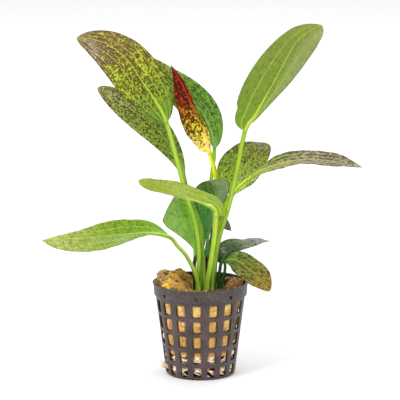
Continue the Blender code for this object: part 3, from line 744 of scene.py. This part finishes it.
@dataclass
class Leaf:
    """One leaf. The stalk runs from the crown to the collar, where the blade starts, and the rib
    goes on from there to the tip. Left and right are as seen by someone who looks at the blade's
    upper face with its tip up. The half width peaks at the belly, a share of the length, and the
    powers of the base and the tip make them slim or full. A lobe is how far the blade's edge
    reaches back past the collar. The faces are where the upper face looks at the base, middle
    and tip, and the fold is its angle at the base and the tip. The ground, the blotches, the
    share that these cover and how clearly the veins show are given at the stops along the blade,
    and the stalk's colours at its foot and collar. Each half's colour is made paler by its share
    of painted sheen, a painted highlight of the light that falls on that side. The skin is the
    slot's own unless it is named."""

    stalk: tuple
    rib: tuple
    half_widths: tuple
    belly: tuple
    faces: tuple
    fold: tuple
    ground: tuple
    blotch: tuple
    cover: tuple
    vein: str
    margin: str
    stalk_colours: tuple
    base: tuple = (1.2, 1.2)
    tip: tuple = (0.75, 0.75)
    lobe: tuple = (0, 0)
    stalk_width: float = 2.4
    vein_fade: tuple = (1, 0.85, 0.4)
    stops: tuple = (0, 0.5, 1)
    painted_sheen: tuple = (0, 0)
    slot: str = "leaf_mottled"
    skin: str = ""


STALK_FOOT = 42.0
LIME_STALK = ("#9cbe3e", "#aecb3e")
LEAVES = {
    "leaf_upper_left": Leaf(
        stalk=((-1.2, -3.0, STALK_FOOT), (-1.5, -3.0, 56), (-0.8, -2.8, 72), (-3.2, -1.6, 89),
               (-9.2, 0, 108)),
        rib=((-19.3, 3, 145), (-26.5, 5.5, 158.5), (-33.7, 8, 168.6), (-41.7, 10, 180),
             (-51, 13, 187.3), (-61, 16, 190.8), (-70.5, 19, 191.5)),
        half_widths=(15.2, 13.5), belly=(0.5, 0.36), base=(0.5, 1.1), tip=(0.6, 0.75),
        faces=((0.1, -1, 0), (0.1, -1, 0.1), (0.1, -1, 0.2)), fold=(18, 6), stalk_width=2.6,
        ground=("#548024", "#b0c03e", "#bcb05c"), blotch=("#3c4c16", "#684820", "#6e4e48"),
        cover=(0.42, 0.64, 0.92), stops=(0, 0.45, 0.85), vein="#b4c84a", margin="#a39a3c",
        stalk_colours=("#aacb42", "#a8c846"),
    ),
    "leaf_left_behind": Leaf(
        stalk=((0.4, 0.3, STALK_FOOT), (0.3, 3.5, 58), (-1, 9, 76), (-4.5, 14, 92)),
        rib=((-8.7, 15, 108), (-11, 17, 117.5), (-15.5, 19, 126.5), (-24, 22, 137),
             (-34.3, 26, 145.3), (-46.5, 30, 152.7), (-59.5, 34, 160)),
        half_widths=(9.2, 8.2), belly=(0.55, 0.6), base=(0.8, 0.8), tip=(0.7, 0.45),
        faces=((0.1, -1, 0), (0.1, -1, 0.1), (0.1, -1, 0.2)), fold=(15, 8),
        ground=("#76983e", "#98aa44", "#b0b076"), blotch=("#40581f", "#50501c", "#5c4424"),
        cover=(0.35, 0.5, 0.62), vein="#9aab52", margin="#a5a548",
        stalk_colours=LIME_STALK, skin="fine_mottled",
    ),
    "leaf_middle_behind": Leaf(
        stalk=((1.6, -3.4, STALK_FOOT), (2.0, -2.2, 56), (1.6, 0.4, 68), (0.7, 3.8, 84),
               (4.2, 9.5, 99), (6.6, 14, 114)),
        rib=((8, 18, 127.5), (6.2, 22, 136.5), (1, 27, 147), (-8, 33, 156.5), (-20, 39, 165.5),
             (-33.5, 45, 177)),
        half_widths=(10, 10.2), belly=(0.45, 0.37), base=(0.9, 1.0), tip=(0.75, 0.55),
        faces=((0.1, -1, 0),) * 3, fold=(15, 8), stalk_width=2.2,
        ground=("#78a444", "#82a446", "#a8ac5a"), blotch=("#40682c", "#4a6a2e", "#6a6a3e"),
        cover=(0.5, 0.5, 0.5), vein="#92b862", margin="#8aa24c",
        stalk_colours=("#98b44c", "#a6c43c"),
    ),
    "leaf_young_red": Leaf(
        stalk=((4.2, -2.9, STALK_FOOT), (4.6, -1.6, 52), (6.9, 1.2, 64), (9.2, 5, 80), (10, 8, 97),
               (8.8, 7.5, 113)),
        rib=((5.2, 5, 127.5), (3.2, 2.5, 138), (-2, 0, 149), (-6.5, -3, 159.5), (-11, -6, 169.6),
             (-16.5, -9, 179.3)),
        half_widths=(10.4, 5.6), belly=(0.33, 0.5), base=(0.5, 1.0), tip=(0.85, 0.75),
        faces=((-0.6, -0.8, 0),) * 3, fold=(35, 35), stalk_width=2.6,
        ground=("#f4e084", "#dad044", "#ba5e22", "#961e22"),
        blotch=("#641810", "#60180c", "#5e1410", "#5e0e0e"),
        cover=(0.56, 0.62, 0.7, 0.78), stops=(0.06, 0.3, 0.58, 1), vein="#d87050",
        vein_fade=(0.1, 0.3, 0.8, 0.5), margin="#963416",
        stalk_colours=("#a0c03a", "#dae640"), slot="leaf_red",
    ),
    "leaf_upper_right": Leaf(
        stalk=((6.4, -6.0, STALK_FOOT), (6.8, -6.3, 56), (8.1, -6.7, 67), (11, -7.5, 82),
               (16, -8.9, 99), (20.1, -10.8, 118)),
        rib=((25, -14, 143), (30.5, -17, 152.5), (40, -24, 171), (50.5, -34, 192.5), (57, -40, 201),
             (65.7, -47, 206.5)),
        half_widths=(14.4, 10.9), belly=(0.34, 0.72), base=(0.62, 0.5), tip=(0.8, 0.45),
        faces=((0, -1, 0.1),) * 3, fold=(-8, -5), stalk_width=2.6,
        ground=("#7f9a34", "#86993a", "#909a4a"), blotch=("#708c30", "#7a8836", "#869044"),
        cover=(0.3, 0.3, 0.3), vein="#b9cf50", margin="#8f9a4c",
        stalk_colours=("#9cbe3e", "#a4be3a"), painted_sheen=(0, 0.12), slot="leaf_plain",
    ),
    "leaf_right_long": Leaf(
        stalk=((7.3, -2.7, STALK_FOOT), (8.0, -2.4, 56), (8.7, -1.6, 66), (10.8, -0.9, 82),
               (15.3, 0, 98), (21.5, 0, 108)),
        rib=((30, -1, 114.7), (37, -2, 119), (46, -4, 123), (56.7, -7, 125.5), (67.5, -11, 126),
             (79.4, -16, 125.3), (90.2, -22, 123.7)),
        half_widths=(9.2, 8.6), belly=(0.45, 0.45), base=(0.6, 0.9),
        faces=((0, -0.35, 0.94),) * 3, fold=(12, 8), stalk_width=2.3,
        ground=("#90a81e", "#a0966a", "#a4988e"), blotch=("#464816", "#4c3830", "#3c2a28"),
        cover=(0.5, 0.54, 0.58), vein="#c3c75c", margin="#5c4a3a",
        # Its stalk's dark teal foot is painted shade, the shadowed side of the stalk there.
        stalk_colours=("#4a8848", "#c4d93e"),
    ),
    "leaf_right_behind": Leaf(
        stalk=((7.0, 0.7, STALK_FOOT), (7.8, 3.4, 54), (8.6, 7.6, 64), (10.7, 11.4, 80),
               (14.5, 13.4, 97)),
        rib=((17.5, 14, 101), (21, 16.5, 109), (28, 22, 119.5), (34, 27.5, 125), (39.5, 34, 127.5)),
        half_widths=(15, 10.8), belly=(0.42, 0.45), base=(0.7, 0.9), tip=(0.6, 0.6),
        faces=((-0.2, -0.9, 0.3), (-0.1, -0.7, 0.6), (-0.1, -0.6, 0.8)), fold=(10, 0),
        ground=("#a6c24c", "#9cb044", "#7a7432"), blotch=("#54702a", "#565422", "#5c4024"),
        cover=(0.32, 0.45, 0.6), vein="#a9b552", margin="#6a4a30",
        stalk_colours=LIME_STALK, skin="fine_mottled",
    ),
    "leaf_front_left": Leaf(
        stalk=((3.2, -7.2, STALK_FOOT), (3.9, -8.1, 54), (5.7, -9.9, 66), (7.8, -11.5, 82)),
        rib=((8.4, -12.9, 94), (7.2, -13.7, 98.5), (2, -15, 101.5), (-7.5, -18, 106),
             (-16.5, -22, 110.5), (-25, -26, 114), (-34.5, -31, 117.5)),
        half_widths=(7.5, 8.4), belly=(0.75, 0.3), base=(1.1, 0.35), tip=(0.35, 0.5), lobe=(1, 2.8),
        faces=((0.2, -0.6, 0.8), (0, -0.5, 0.86), (0, -0.6, 0.8)), fold=(30, 8), stalk_width=3.0,
        ground=("#8eac34", "#aeba62", "#a2b04c"), blotch=("#80a032", "#98a846", "#98a848"),
        cover=(0.3, 0.35, 0.3), vein="#bcd356", margin="#a9b84f",
        stalk_colours=("#98c04c", "#b4cc44"), slot="leaf_plain",
    ),
    "leaf_left_dark": Leaf(
        stalk=((-2.6, 0.3, STALK_FOOT), (-3.4, 1.4, 54), (-3.7, 3, 62)),
        rib=((-3, 4.5, 67.7), (-4.2, 7.5, 79.2), (-5.5, 9.5, 87), (-7.5, 11, 94),
             (-12.5, 12.5, 104)),
        half_widths=(16, 8.6), belly=(0.62, 0.5), base=(1.2, 0.4), tip=(0.9, 0.75),
        faces=((0, -1, 0),) * 3, fold=(10, 10), stalk_width=2.2,
        ground=("#8fba4a", "#8cb644", "#7ca83e"), blotch=("#6c9a3a", "#669434", "#548030"),
        cover=(0.2, 0.25, 0.35), vein="#a3c25e", margin="#5d6a34",
        stalk_colours=("#2a2016", "#5a5a2c"), painted_sheen=(0.1, 0), slot="leaf_dark",
    ),
    "leaf_middle_dark": Leaf(
        stalk=((3.6, 1.0, STALK_FOOT), (3.6, 1.9, 54), (3.6, 2.5, 62)),
        rib=((3.8, 2.8, 68), (4.2, 3.2, 78), (5.2, 3.2, 90), (5.4, 2, 102), (3.2, -0.5, 112)),
        half_widths=(9.8, 12.4), belly=(0.8, 0.88), base=(0.65, 0.42), tip=(0.4, 0.5),
        faces=((0, -1, 0), (0, -1, 0.2), (0, -1, 0.5)), fold=(6, 0), stalk_width=3.0,
        ground=("#409048", "#5c9c48", "#68843e"), blotch=("#286638", "#3d783a", "#485626"),
        cover=(0.3, 0.35, 0.45), vein="#6fa85c", margin="#5e4634",
        stalk_colours=("#3a1a10", "#3c3420"), painted_sheen=(0, 0.2), slot="leaf_dark",
    ),
    "leaf_low_left": Leaf(
        stalk=((-1.0, -6.2, STALK_FOOT), (-1.0, -6.4, 51), (-3.4, -7, 60.5), (-8, -8, 70),
               (-13.4, -9, 76.5)),
        rib=((-17.5, -11, 81.5), (-28, -16, 85), (-38, -20, 85.5), (-50, -25, 85.5),
             (-61.7, -29, 85), (-75, -32, 85), (-88.3, -34, 84.8)),
        half_widths=(12.4, 10.7), belly=(0.58, 0.33), base=(1.1, 1.0), tip=(0.75, 1.05),
        faces=((0, -0.4, 0.9), (0, -0.5, 0.86), (0, -0.8, 0.6)), fold=(28, 0), stalk_width=2.3,
        ground=("#8ab436", "#93ac38", "#bcc27c"), blotch=("#64882a", "#72902e", "#9a9a5c"),
        cover=(0.35, 0.35, 0.4), vein="#c0d36c", margin="#a5b84e",
        stalk_colours=("#9cbe3e", "#bccf6c"), slot="leaf_plain",
    ),
    "leaf_small_grey": Leaf(
        stalk=((4.6, 4.4, STALK_FOOT), (4.8, 6.4, 56), (5.4, 9, 70), (6.4, 10.6, 79)),
        rib=((7.0, 10.9, 83), (9.4, 10.6, 87.5), (12.6, 9.6, 88), (15.2, 8.8, 85.3),
             (17.7, 8.2, 81.4)),
        half_widths=(1.8, 5), belly=(0.5, 0.5),
        faces=((-0.5, -0.8, 0.3), (0, -1, 0.3), (0, -1, 0.3)), fold=(0, 0), stalk_width=1.6,
        ground=("#5c7a4a", "#7d7d68", "#948c80"), blotch=("#3d5a34", "#5c564a", "#5a4f4c"),
        cover=(0.4, 0.5, 0.6), vein="#8a8f70", margin="#5a4a44",
        stalk_colours=("#4c6a34", "#5c8040"), slot="leaf_dark",
    ),
    "leaf_low_right_dark": Leaf(
        stalk=((10.2, 2.4, STALK_FOOT), (10.5, 2.9, 54), (11.2, 3.7, 60)),
        rib=((11.8, 4, 63), (14.6, 3.8, 68.4), (19.8, 3, 72.2), (27, 2, 74.8), (33.5, 1, 76.6),
             (40, 0, 77)),
        half_widths=(7.8, 5), belly=(0.28, 0.4), base=(0.3, 0.8),
        faces=((-0.3, -0.95, 0.15), (-0.2, -0.4, 0.9), (0, -0.2, 0.98)), fold=(6, -5),
        stalk_width=2.0,
        # Its tip's pale grey is partly its own grey-lilac and partly a painted highlight of glints.
        ground=("#2c6040", "#788a60", "#b4b0ac"), blotch=("#1c3c28", "#4c5044", "#5c5650"),
        cover=(0.4, 0.55, 0.6), vein="#6f9560", margin="#3c4a30",
        stalk_colours=("#3f6b33", "#4c7a3a"), painted_sheen=(0.12, 0), slot="leaf_dark",
    ),
    "leaf_low_right": Leaf(
        stalk=((11.3, -1.5, STALK_FOOT), (11.2, -1.8, 50), (13.4, -2.6, 57), (14, -3.6, 62)),
        rib=((14.2, -5, 66), (17.5, -8, 68), (22, -10, 67), (29.5, -14, 62), (34.5, -16.5, 57.5),
             (39, -19, 52)),
        half_widths=(8.4, 8.8), belly=(0.55, 0.5), base=(0.6, 0.9), tip=(0.6, 0.65), lobe=(4, 1),
        faces=((-0.5, -0.5, 0.7), (0.2, -0.7, 0.7), (0.5, -0.8, 0.3)), fold=(10, 5),
        stalk_width=1.8,
        ground=("#5c8038", "#8c9440", "#a68c42"), blotch=("#2c4a20", "#544e1a", "#6e5024"),
        cover=(0.6, 0.5, 0.5), vein="#b4bc58", vein_fade=(0.35, 0.6, 0.35), margin="#8d8a3c",
        stalk_colours=("#4d7a3a", "#4f8a44"), skin="fine_mottled",
    ),
}


def smooth_curve(places):
    """A Catmull-Rom curve through the places, each span a Hermite cubic between two places with
    the slopes of their neighbours: its points, and how far each lies along it."""
    places = np.array(places, float)
    slopes = np.gradient(places, axis=0)
    t = np.linspace(0, 1, PATH_STEPS + 1)[:, None]
    spans = [
        (2 * t**3 - 3 * t**2 + 1) * a + (t**3 - 2 * t**2 + t) * da
        + (3 * t**2 - 2 * t**3) * b + (t**3 - t**2) * db
        for a, b, da, db in zip(places, places[1:], slopes, slopes[1:])
    ]
    curve = np.concatenate([spans[0][:1]] + [span[1:] for span in spans])
    length = np.concatenate([[0], np.cumsum(np.linalg.norm(np.diff(curve, axis=0), axis=1))])
    return curve, length


def columns_at(wanted, known, values):
    """Each column of the values, read at the wanted places along the known ones."""
    return np.stack([np.interp(wanted, known, column) for column in np.transpose(values)], axis=-1)


def half_width(leaf, side, s):
    """The blade's half width at the share s of its length: a sine bent so that it peaks at the
    belly, and raised to a power that goes from the base's taper to the tip's."""
    bend = math.log(0.5) / math.log(leaf.belly[side])
    power = leaf.base[side] + (leaf.tip[side] - leaf.base[side]) * smooth_step(s)
    return leaf.half_widths[side] * np.maximum(np.sin(np.pi * s**bend), 0) ** power


def leaf_surface(leaf, seed):
    """The leaf as rings of points from the crown to the tip, with the place of each on the blade.
    A ring is a circle of radius r round the path, whose two sides are pulled out by w, the
    blade's half width less r. With u from 1 at the right edge to -1 at the left one, a point at
    angle a goes across by r cos a + w u cos(fold), and up by r sin a near the rib and by half
    the blade's thickness further out. The fold lifts it by |w u| sin(fold), rounded at the rib.
    Ripples, a frilled margin, sunken veins and puckers are added along the blade's normal."""
    curve, length = smooth_curve(leaf.stalk + leaf.rib)
    collar = length[PATH_STEPS * len(leaf.stalk)]
    blade = (1 - np.cos(np.linspace(0, np.pi, BLADE_ROWS))) / 2
    stalk = np.linspace(0, collar, STALK_ROWS, endpoint=False)
    far = np.concatenate([stalk, collar + (length[-1] - collar) * blade])
    s = np.concatenate([np.zeros(STALK_ROWS), blade])[:, None]
    centre = columns_at(far, length, curve)
    tangent = unit(columns_at(far, length, np.gradient(curve, axis=0)))
    faces = columns_at(s[:, 0], (0, 0.5, 1), leaf.faces)
    normal = unit(faces - (faces * tangent).sum(axis=1, keepdims=True) * tangent)
    side = np.cross(tangent, normal)

    # The ring's points: the right half of the blade, the rib, the left half, then the underside
    half = np.linspace(1, 0, BLADE_POINTS)
    out = np.concatenate([half, np.zeros(RIB_POINTS - 2), -half[::-1]])
    angle = np.concatenate([
        np.linspace(0, 60, BLADE_POINTS), np.linspace(60, 120, RIB_POINTS)[1:-1],
        np.linspace(120, 180, BLADE_POINTS),
    ])
    out = np.concatenate([out, out[-2:0:-1]])
    angle = np.radians(np.concatenate([angle, 360 - angle[-2:0:-1]]))
    upper = np.sin(angle) > 0

    foot = 1 + STALK_FLARE * (1 - smooth_step(far / FLARE_LENGTH))[:, None]
    slimmed = smooth_step(s / 0.4)
    radius = leaf.stalk_width / 2 * foot * (1 - slimmed) + (RIB_RADIUS - RIB_TAPER * s) * slimmed
    width = np.where(out + np.cos(angle) > 0, half_width(leaf, 1, s), half_width(leaf, 0, s))
    spread = np.maximum(width - radius, 0) * out
    fold = np.radians(np.interp(s, (0, 1), leaf.fold))
    flat = smooth_step(np.abs(spread) / 1.8)
    rib = radius * np.where(upper, 1 - 0.75 * smooth_step(s / 0.3), 1)
    sheet = BLADE_THICKNESS / 2 * np.sqrt(1 - np.abs(out) ** 6) * np.where(upper, 1, -1)
    up = rib * np.sin(angle) * (1 - flat) + sheet * flat
    up += np.sin(fold) * (np.sqrt(spread**2 + FOLD_ROUNDING**2) - FOLD_ROUNDING)
    ends = smooth_step(4 * s) * smooth_step(4 - 4 * s)
    up += EDGE_WAVE * out**2 * np.sin(2 * np.pi * (EDGE_WAVES * s + 0.25 * out)) * ends
    blade_far = (far - collar)[:, None]
    up += EDGE_FRILL * out**4 * np.sin(blade_far / 1.3 + 2.1 * np.sign(out) + seed) * ends
    for vein, strength in SIDE_VEINS[leaf.skin or leaf.slot]:
        up -= VEIN_DEPTH * np.exp(-(((np.abs(out) - vein) / 0.045) ** 2)) * ends * flat
    mm = np.stack(np.broadcast_arrays(spread, blade_far, seed * 31.0), axis=-1)
    puckers = PUCKER_RISE * lattice_noise(mm, 5.0, seed) + 0.06 * lattice_noise(mm, 2.1, seed + 1)
    up += puckers * flat
    groove = np.exp(-((np.cos(angle) / 0.4) ** 2)) * upper
    up -= STALK_GROOVE * radius * groove * (s <= 0)
    across = radius * np.cos(angle) + spread * np.cos(fold)
    lobe = np.where(out > 0, leaf.lobe[1] / leaf.half_widths[1], leaf.lobe[0] / leaf.half_widths[0])
    back = lobe * np.abs(spread) * smooth_step(1 - s / 0.4)
    points = centre[:, None] + across[..., None] * side[:, None] + up[..., None] * normal[:, None]
    points -= back[..., None] * tangent[:, None]
    points[0], points[-1] = centre[0], centre[-1]
    flat_across = radius * np.cos(angle) + spread
    width = np.maximum(width, radius)
    whole = np.ones_like(width)
    share = flat_across / width
    return points, share, s * whole, flat_across, blade_far * whole, radius * whole, width


# Leaf green is deeper than a pale swatch: each leaf colour is raised to this power.
LEAF_DEPTH = 1.3
# The blade's base has fewer blotches: this much is taken from the share that they cover.
CLEAR_BASE = 0.5
# The pale colour of the painted sheen, a highlight on one half of a blade.
PAINTED_SHEEN_COLOUR = linear("#cfd4ae")


def leaf_colours(leaf, share, s, across, beyond, radius):
    """The colour at each point of the leaf's ground, its blotches and its veins, and the share
    that the blotches cover: blends along the blade, with its margin, a painted sheen on either half
    and the stalk's own green, painted lighter down its middle and darker at its sides as shade."""
    def deep(text):
        return linear(text) ** LEAF_DEPTH

    stops = leaf.stops
    ground = columns_at(s, stops, [deep(text) for text in leaf.ground])
    blotch = columns_at(s, stops, [deep(text) for text in leaf.blotch])
    line = ground + np.interp(s, stops, leaf.vein_fade)[..., None] * (deep(leaf.vein) - ground)
    cover = np.interp(s, stops, leaf.cover) - CLEAR_BASE * smooth_step(1 - s / 0.25)
    # Painted sheen: each half of the blade made paler, a painted highlight of the light on that
    # side.
    painted_sheen_share = np.interp(share, (-0.5, -0.1, 0.1, 0.5), (leaf.painted_sheen[0], 0, 0, leaf.painted_sheen[1]))
    painted_sheen_share = (painted_sheen_share * smooth_step(s * 4))[..., None]
    ground = ground + painted_sheen_share * (PAINTED_SHEEN_COLOUR - ground)
    blotch = blotch + painted_sheen_share * (PAINTED_SHEEN_COLOUR - blotch)
    edge = smooth_step((np.abs(share) - 0.93) / 0.05) * smooth_step(s * 8)
    ground = ground + (0.7 * edge)[..., None] * (deep(leaf.margin) - ground)
    low, high = deep(leaf.stalk_colours[0]), deep(leaf.stalk_colours[1])
    rise = smooth_step(1 + beyond / max(-beyond.min(), 1))[..., None]
    # Painted shade: the stalk is lighter down its middle and darker at its sides, as on a round
    # stalk.
    painted_stalk_shade = 1.16 - 0.6 * np.clip(np.abs(across) / radius, 0, 1) ** 2
    stalk = (low + (high - low) * rise) * painted_stalk_shade[..., None]
    on_stalk = smooth_step(-beyond / 3 + 0.5)[..., None]
    ground = ground + on_stalk * (stalk - ground)
    line = line + on_stalk * (ground - line)
    return ground, blotch, line, np.where(beyond < 0, -1, cover)


# Living leaf: a waxy skin over soft green tissue. Its fine veins part it into cells about a
# millimetre wide, and each cell holds purple-brown pigment or none, so that the blotches are
# a mosaic with green lines left between its pieces.
def leaf_material(name, veins, cell, cluster, speckle, network, roughness, wax=0.26):
    """The cell is a cell's width and length in millimetres, and the cluster the size of a patch
    of cells with pigment. The speckle is how far the cells differ in shade, and the network how
    clearly the fine veins part them. The wax is the weight of the glossy coat."""
    material, tree, shader = new_material(name, roughness)
    flat_map, blade_map = [add(tree, "UVMap", uv_map=layer)[0] for layer in ("flat", "blade")]
    ground, blotch, line = [
        add(tree, "Attribute", attribute_name=layer)["Color"]
        for layer in ("ground", "blotch", "line")
    ]
    cover, rib = [add(tree, "Attribute", attribute_name=layer)["Fac"] for layer in ("cover", "rib")]

    # The flat map is in millimetres, so a texture's scale is one over its size.
    wobble = add(tree, "TexNoise", {"Vector": flat_map, "Scale": 1 / 1.3, "Detail": 2})["Color"]
    wobbled = (wobble, (0.9, 0.9, 0), flat_map)
    wobbled = add(tree, "VectorMath", wobbled, operation="MULTIPLY_ADD")[0]
    stretched = add(tree, "Mapping", {"Vector": wobbled, "Scale": (1 / cell[0], 1 / cell[1], 1)})[0]
    in_cells = {"Vector": stretched, "Scale": 1.0}
    cells = add(tree, "TexVoronoi", in_cells)["Color"]
    edges = add(tree, "TexVoronoi", in_cells, feature="DISTANCE_TO_EDGE")[0]
    chance, lightness = add(tree, "SeparateColor", {"Color": cells})[:2]
    patches = {"Vector": flat_map, "Scale": 1 / cluster, "Detail": 5, "Roughness": 0.62}
    pigment = add(tree, "Math", (add(tree, "TexNoise", patches)[0], 0.5), operation="SUBTRACT")[0]
    covered = add(tree, "Math", (cover, 0.5), operation="SUBTRACT")[0]
    level = add(tree, "Math", (pigment, 2.1, covered), operation="MULTIPLY_ADD")[0]
    chance = add(tree, "Math", (chance, 0.5), operation="SUBTRACT")[0]
    level = add(tree, "Math", (chance, 0.75, level), operation="MULTIPLY_ADD")[0]
    stained = add(tree, "MapRange", {"Value": level, "From Min": -0.1, "From Max": 0.1})[0]
    between = {"Value": edges, "From Min": 0.16, "From Max": 0.02, "To Max": network}
    between = add(tree, "MapRange", between)[0]
    stained = add(tree, "Math", (stained, between), operation="SUBTRACT", use_clamp=True)[0]
    colour = add(tree, "Mix", {0: stained, 6: ground, 7: blotch}, data_type="RGBA")[2]
    shade = {"Value": lightness, "To Min": 1 - speckle, "To Max": 1 + speckle}
    shade = add(tree, "MapRange", shade)[0]
    colour = add(tree, "VectorMath", (colour, shade), operation="MULTIPLY")[0]
    # Faint streaks along the blade, 0.4 mm wide and 8 mm long
    drawn_out = add(tree, "Mapping", {"Vector": flat_map, "Scale": (1 / 0.4, 1 / 8, 1)})[0]
    streaks = add(tree, "TexNoise", {"Vector": drawn_out, "Scale": 1.0, "Detail": 3})[0]
    streaks = {"Value": streaks, "From Min": 0.3, "From Max": 0.7, "To Min": 0.82, "To Max": 1.18}
    streaks = add(tree, "MapRange", streaks)[0]

    # The midrib, and the side veins, which keep to fixed shares of the blade's half width
    off = add(tree, "Math", (add(tree, "SeparateXYZ", (flat_map,))[0],), operation="ABSOLUTE")[0]
    width, along = add(tree, "SeparateXYZ", (blade_map,))[:2]
    on_rib = add(tree, "Math", (off, rib), operation="DIVIDE")[0]
    on_rib = add(tree, "MapRange", {"Value": on_rib, "From Min": 0.95, "From Max": 0.5})[0]
    half_line = add(tree, "Math", (along, -0.16, 0.42), operation="MULTIPLY_ADD")[0]
    for vein, strength in veins:
        gap = add(tree, "Math", (width, -vein, off), operation="MULTIPLY_ADD")[0]
        gap = add(tree, "Math", (gap,), operation="ABSOLUTE")[0]
        gap = add(tree, "Math", (gap, half_line), operation="DIVIDE")[0]
        near = add(tree, "Math", (1.0, gap), operation="SUBTRACT", use_clamp=True)[0]
        near = add(tree, "Math", (near, strength), operation="MULTIPLY")[0]
        on_rib = add(tree, "Math", (on_rib, near), operation="MAXIMUM")[0]
    colour = add(tree, "Mix", {0: on_rib, 6: colour, 7: line}, data_type="RGBA")[2]
    colour = add(tree, "VectorMath", (colour, streaks), operation="MULTIPLY")[0]
    tree.links.new(colour, shader.inputs["Base Color"])
    bump = add(tree, "Bump", {"Height": edges, "Strength": 0.3, "Distance": 0.3 * MM})[0]
    tree.links.new(bump, shader.inputs["Normal"])
    shader.inputs["Specular IOR Level"].default_value = wax / 2
    shader.inputs["Coat Weight"].default_value = wax
    shader.inputs["Coat Roughness"].default_value = 0.1
    return material


LEAF_SKINS = {
    skin: leaf_material(name, SIDE_VEINS[skin], *settings)
    for skin, name, *settings in (
        ("leaf_mottled", "mottled_leaf", (0.74, 1.2), 3.0, 0.28, 0.35, 0.38),
        ("fine_mottled", "fine_mottled_leaf", (0.62, 1.0), 2.3, 0.3, 0.3, 0.38),
        ("leaf_plain", "plain_leaf", (1.3, 0.7), 3.0, 0.11, 0.4, 0.38),
        ("leaf_dark", "dark_leaf", (0.8, 1.0), 2.5, 0.1, 0.5, 0.3),
        ("leaf_red", "young_red_leaf", (0.8, 1.2), 2.8, 0.3, 0.2, 0.36, 0.08),
    )
}

for seed, (name, leaf) in enumerate(LEAVES.items(), start=1):
    points, share, s, across, beyond, radius, width = leaf_surface(leaf, seed)
    ground, blotch, line, cover = leaf_colours(leaf, share, s, across, beyond, radius)
    flat_map = np.stack([across, beyond + 97 * seed], axis=-1).reshape(-1, 2)
    blade_map = np.stack([width, s], axis=-1).reshape(-1, 2)
    ground, blotch, line = [shades.reshape(-1, 3) for shades in (ground, blotch, line)]
    blade = add_piece(
        name + "_grown", *grid_mesh(points), LEAF_SKINS[leaf.skin or leaf.slot],
        maps={"blade": blade_map, "flat": flat_map},
        colours={"ground": ground, "blotch": blotch, "line": line},
        values={"cover": cover.reshape(-1), "rib": radius.reshape(-1)},
    )
    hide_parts(name)

# ---------------------------------------------------------------------------------------------
# The stage: a plain white table, a white room and four soft lamps, whose places and sizes are in
# metres, and the camera, which looks down on the plant by 11 degrees from 1.4 metres away.

TABLE_SIDE = 12
LAMP_AIM = np.array((0.0, 0.0, 0.11))
ROOM_LIGHT = 0.94
CAMERA_PLACE = (-0.3, -1365.0, 365.0)
CAMERA_PITCH = 10.95
FOCAL_PIXELS = 2444.0
PICTURE_SIDE = 400
SENSOR = 36.0

paper, tree, shader = new_material("white_table", 0.9)
shader.inputs["Base Color"].default_value = rgba("#f4f4f4")
bpy.ops.mesh.primitive_plane_add(size=TABLE_SIDE)
floor = bpy.context.object
floor.name = "table"
floor.data.materials.append(paper)

room = bpy.data.worlds.new("white_room")
room.use_nodes = True
background = room.node_tree.nodes["Background"]
background.inputs["Color"].default_value = (1, 1, 1, 1)
background.inputs["Strength"].default_value = ROOM_LIGHT
bpy.context.scene.world = room
bpy.context.scene.view_settings.view_transform = "Standard"

for name, place, size, power in (
    ("key", (-0.9, -0.9, 1.2), 0.6, 13),
    ("fill", (1.2, -0.8, 0.7), 0.8, 4),
    ("back", (-0.2, 1.1, 1.3), 0.9, 3),
    ("window", (0.7, 0.95, 1.25), 0.3, 4.5),
):
    lamp = bpy.data.lights.new(name, "AREA")
    lamp.energy = power
    lamp.size = size
    lamp_object = bpy.data.objects.new(name, lamp)
    lamp_object.location = place
    toward = Vector(LAMP_AIM - np.array(place))
    lamp_object.rotation_euler = toward.to_track_quat("-Z", "Y").to_euler()
    bpy.context.scene.collection.objects.link(lamp_object)

camera = bpy.data.cameras.new("camera")
camera.sensor_width = SENSOR
camera.lens = FOCAL_PIXELS * SENSOR / PICTURE_SIDE
camera_object = bpy.data.objects.new("camera", camera)
camera_object.location = np.array(CAMERA_PLACE) * MM
camera_object.rotation_euler = (math.radians(90 - CAMERA_PITCH), 0, 0)
bpy.context.scene.collection.objects.link(camera_object)
bpy.context.scene.camera = camera_object
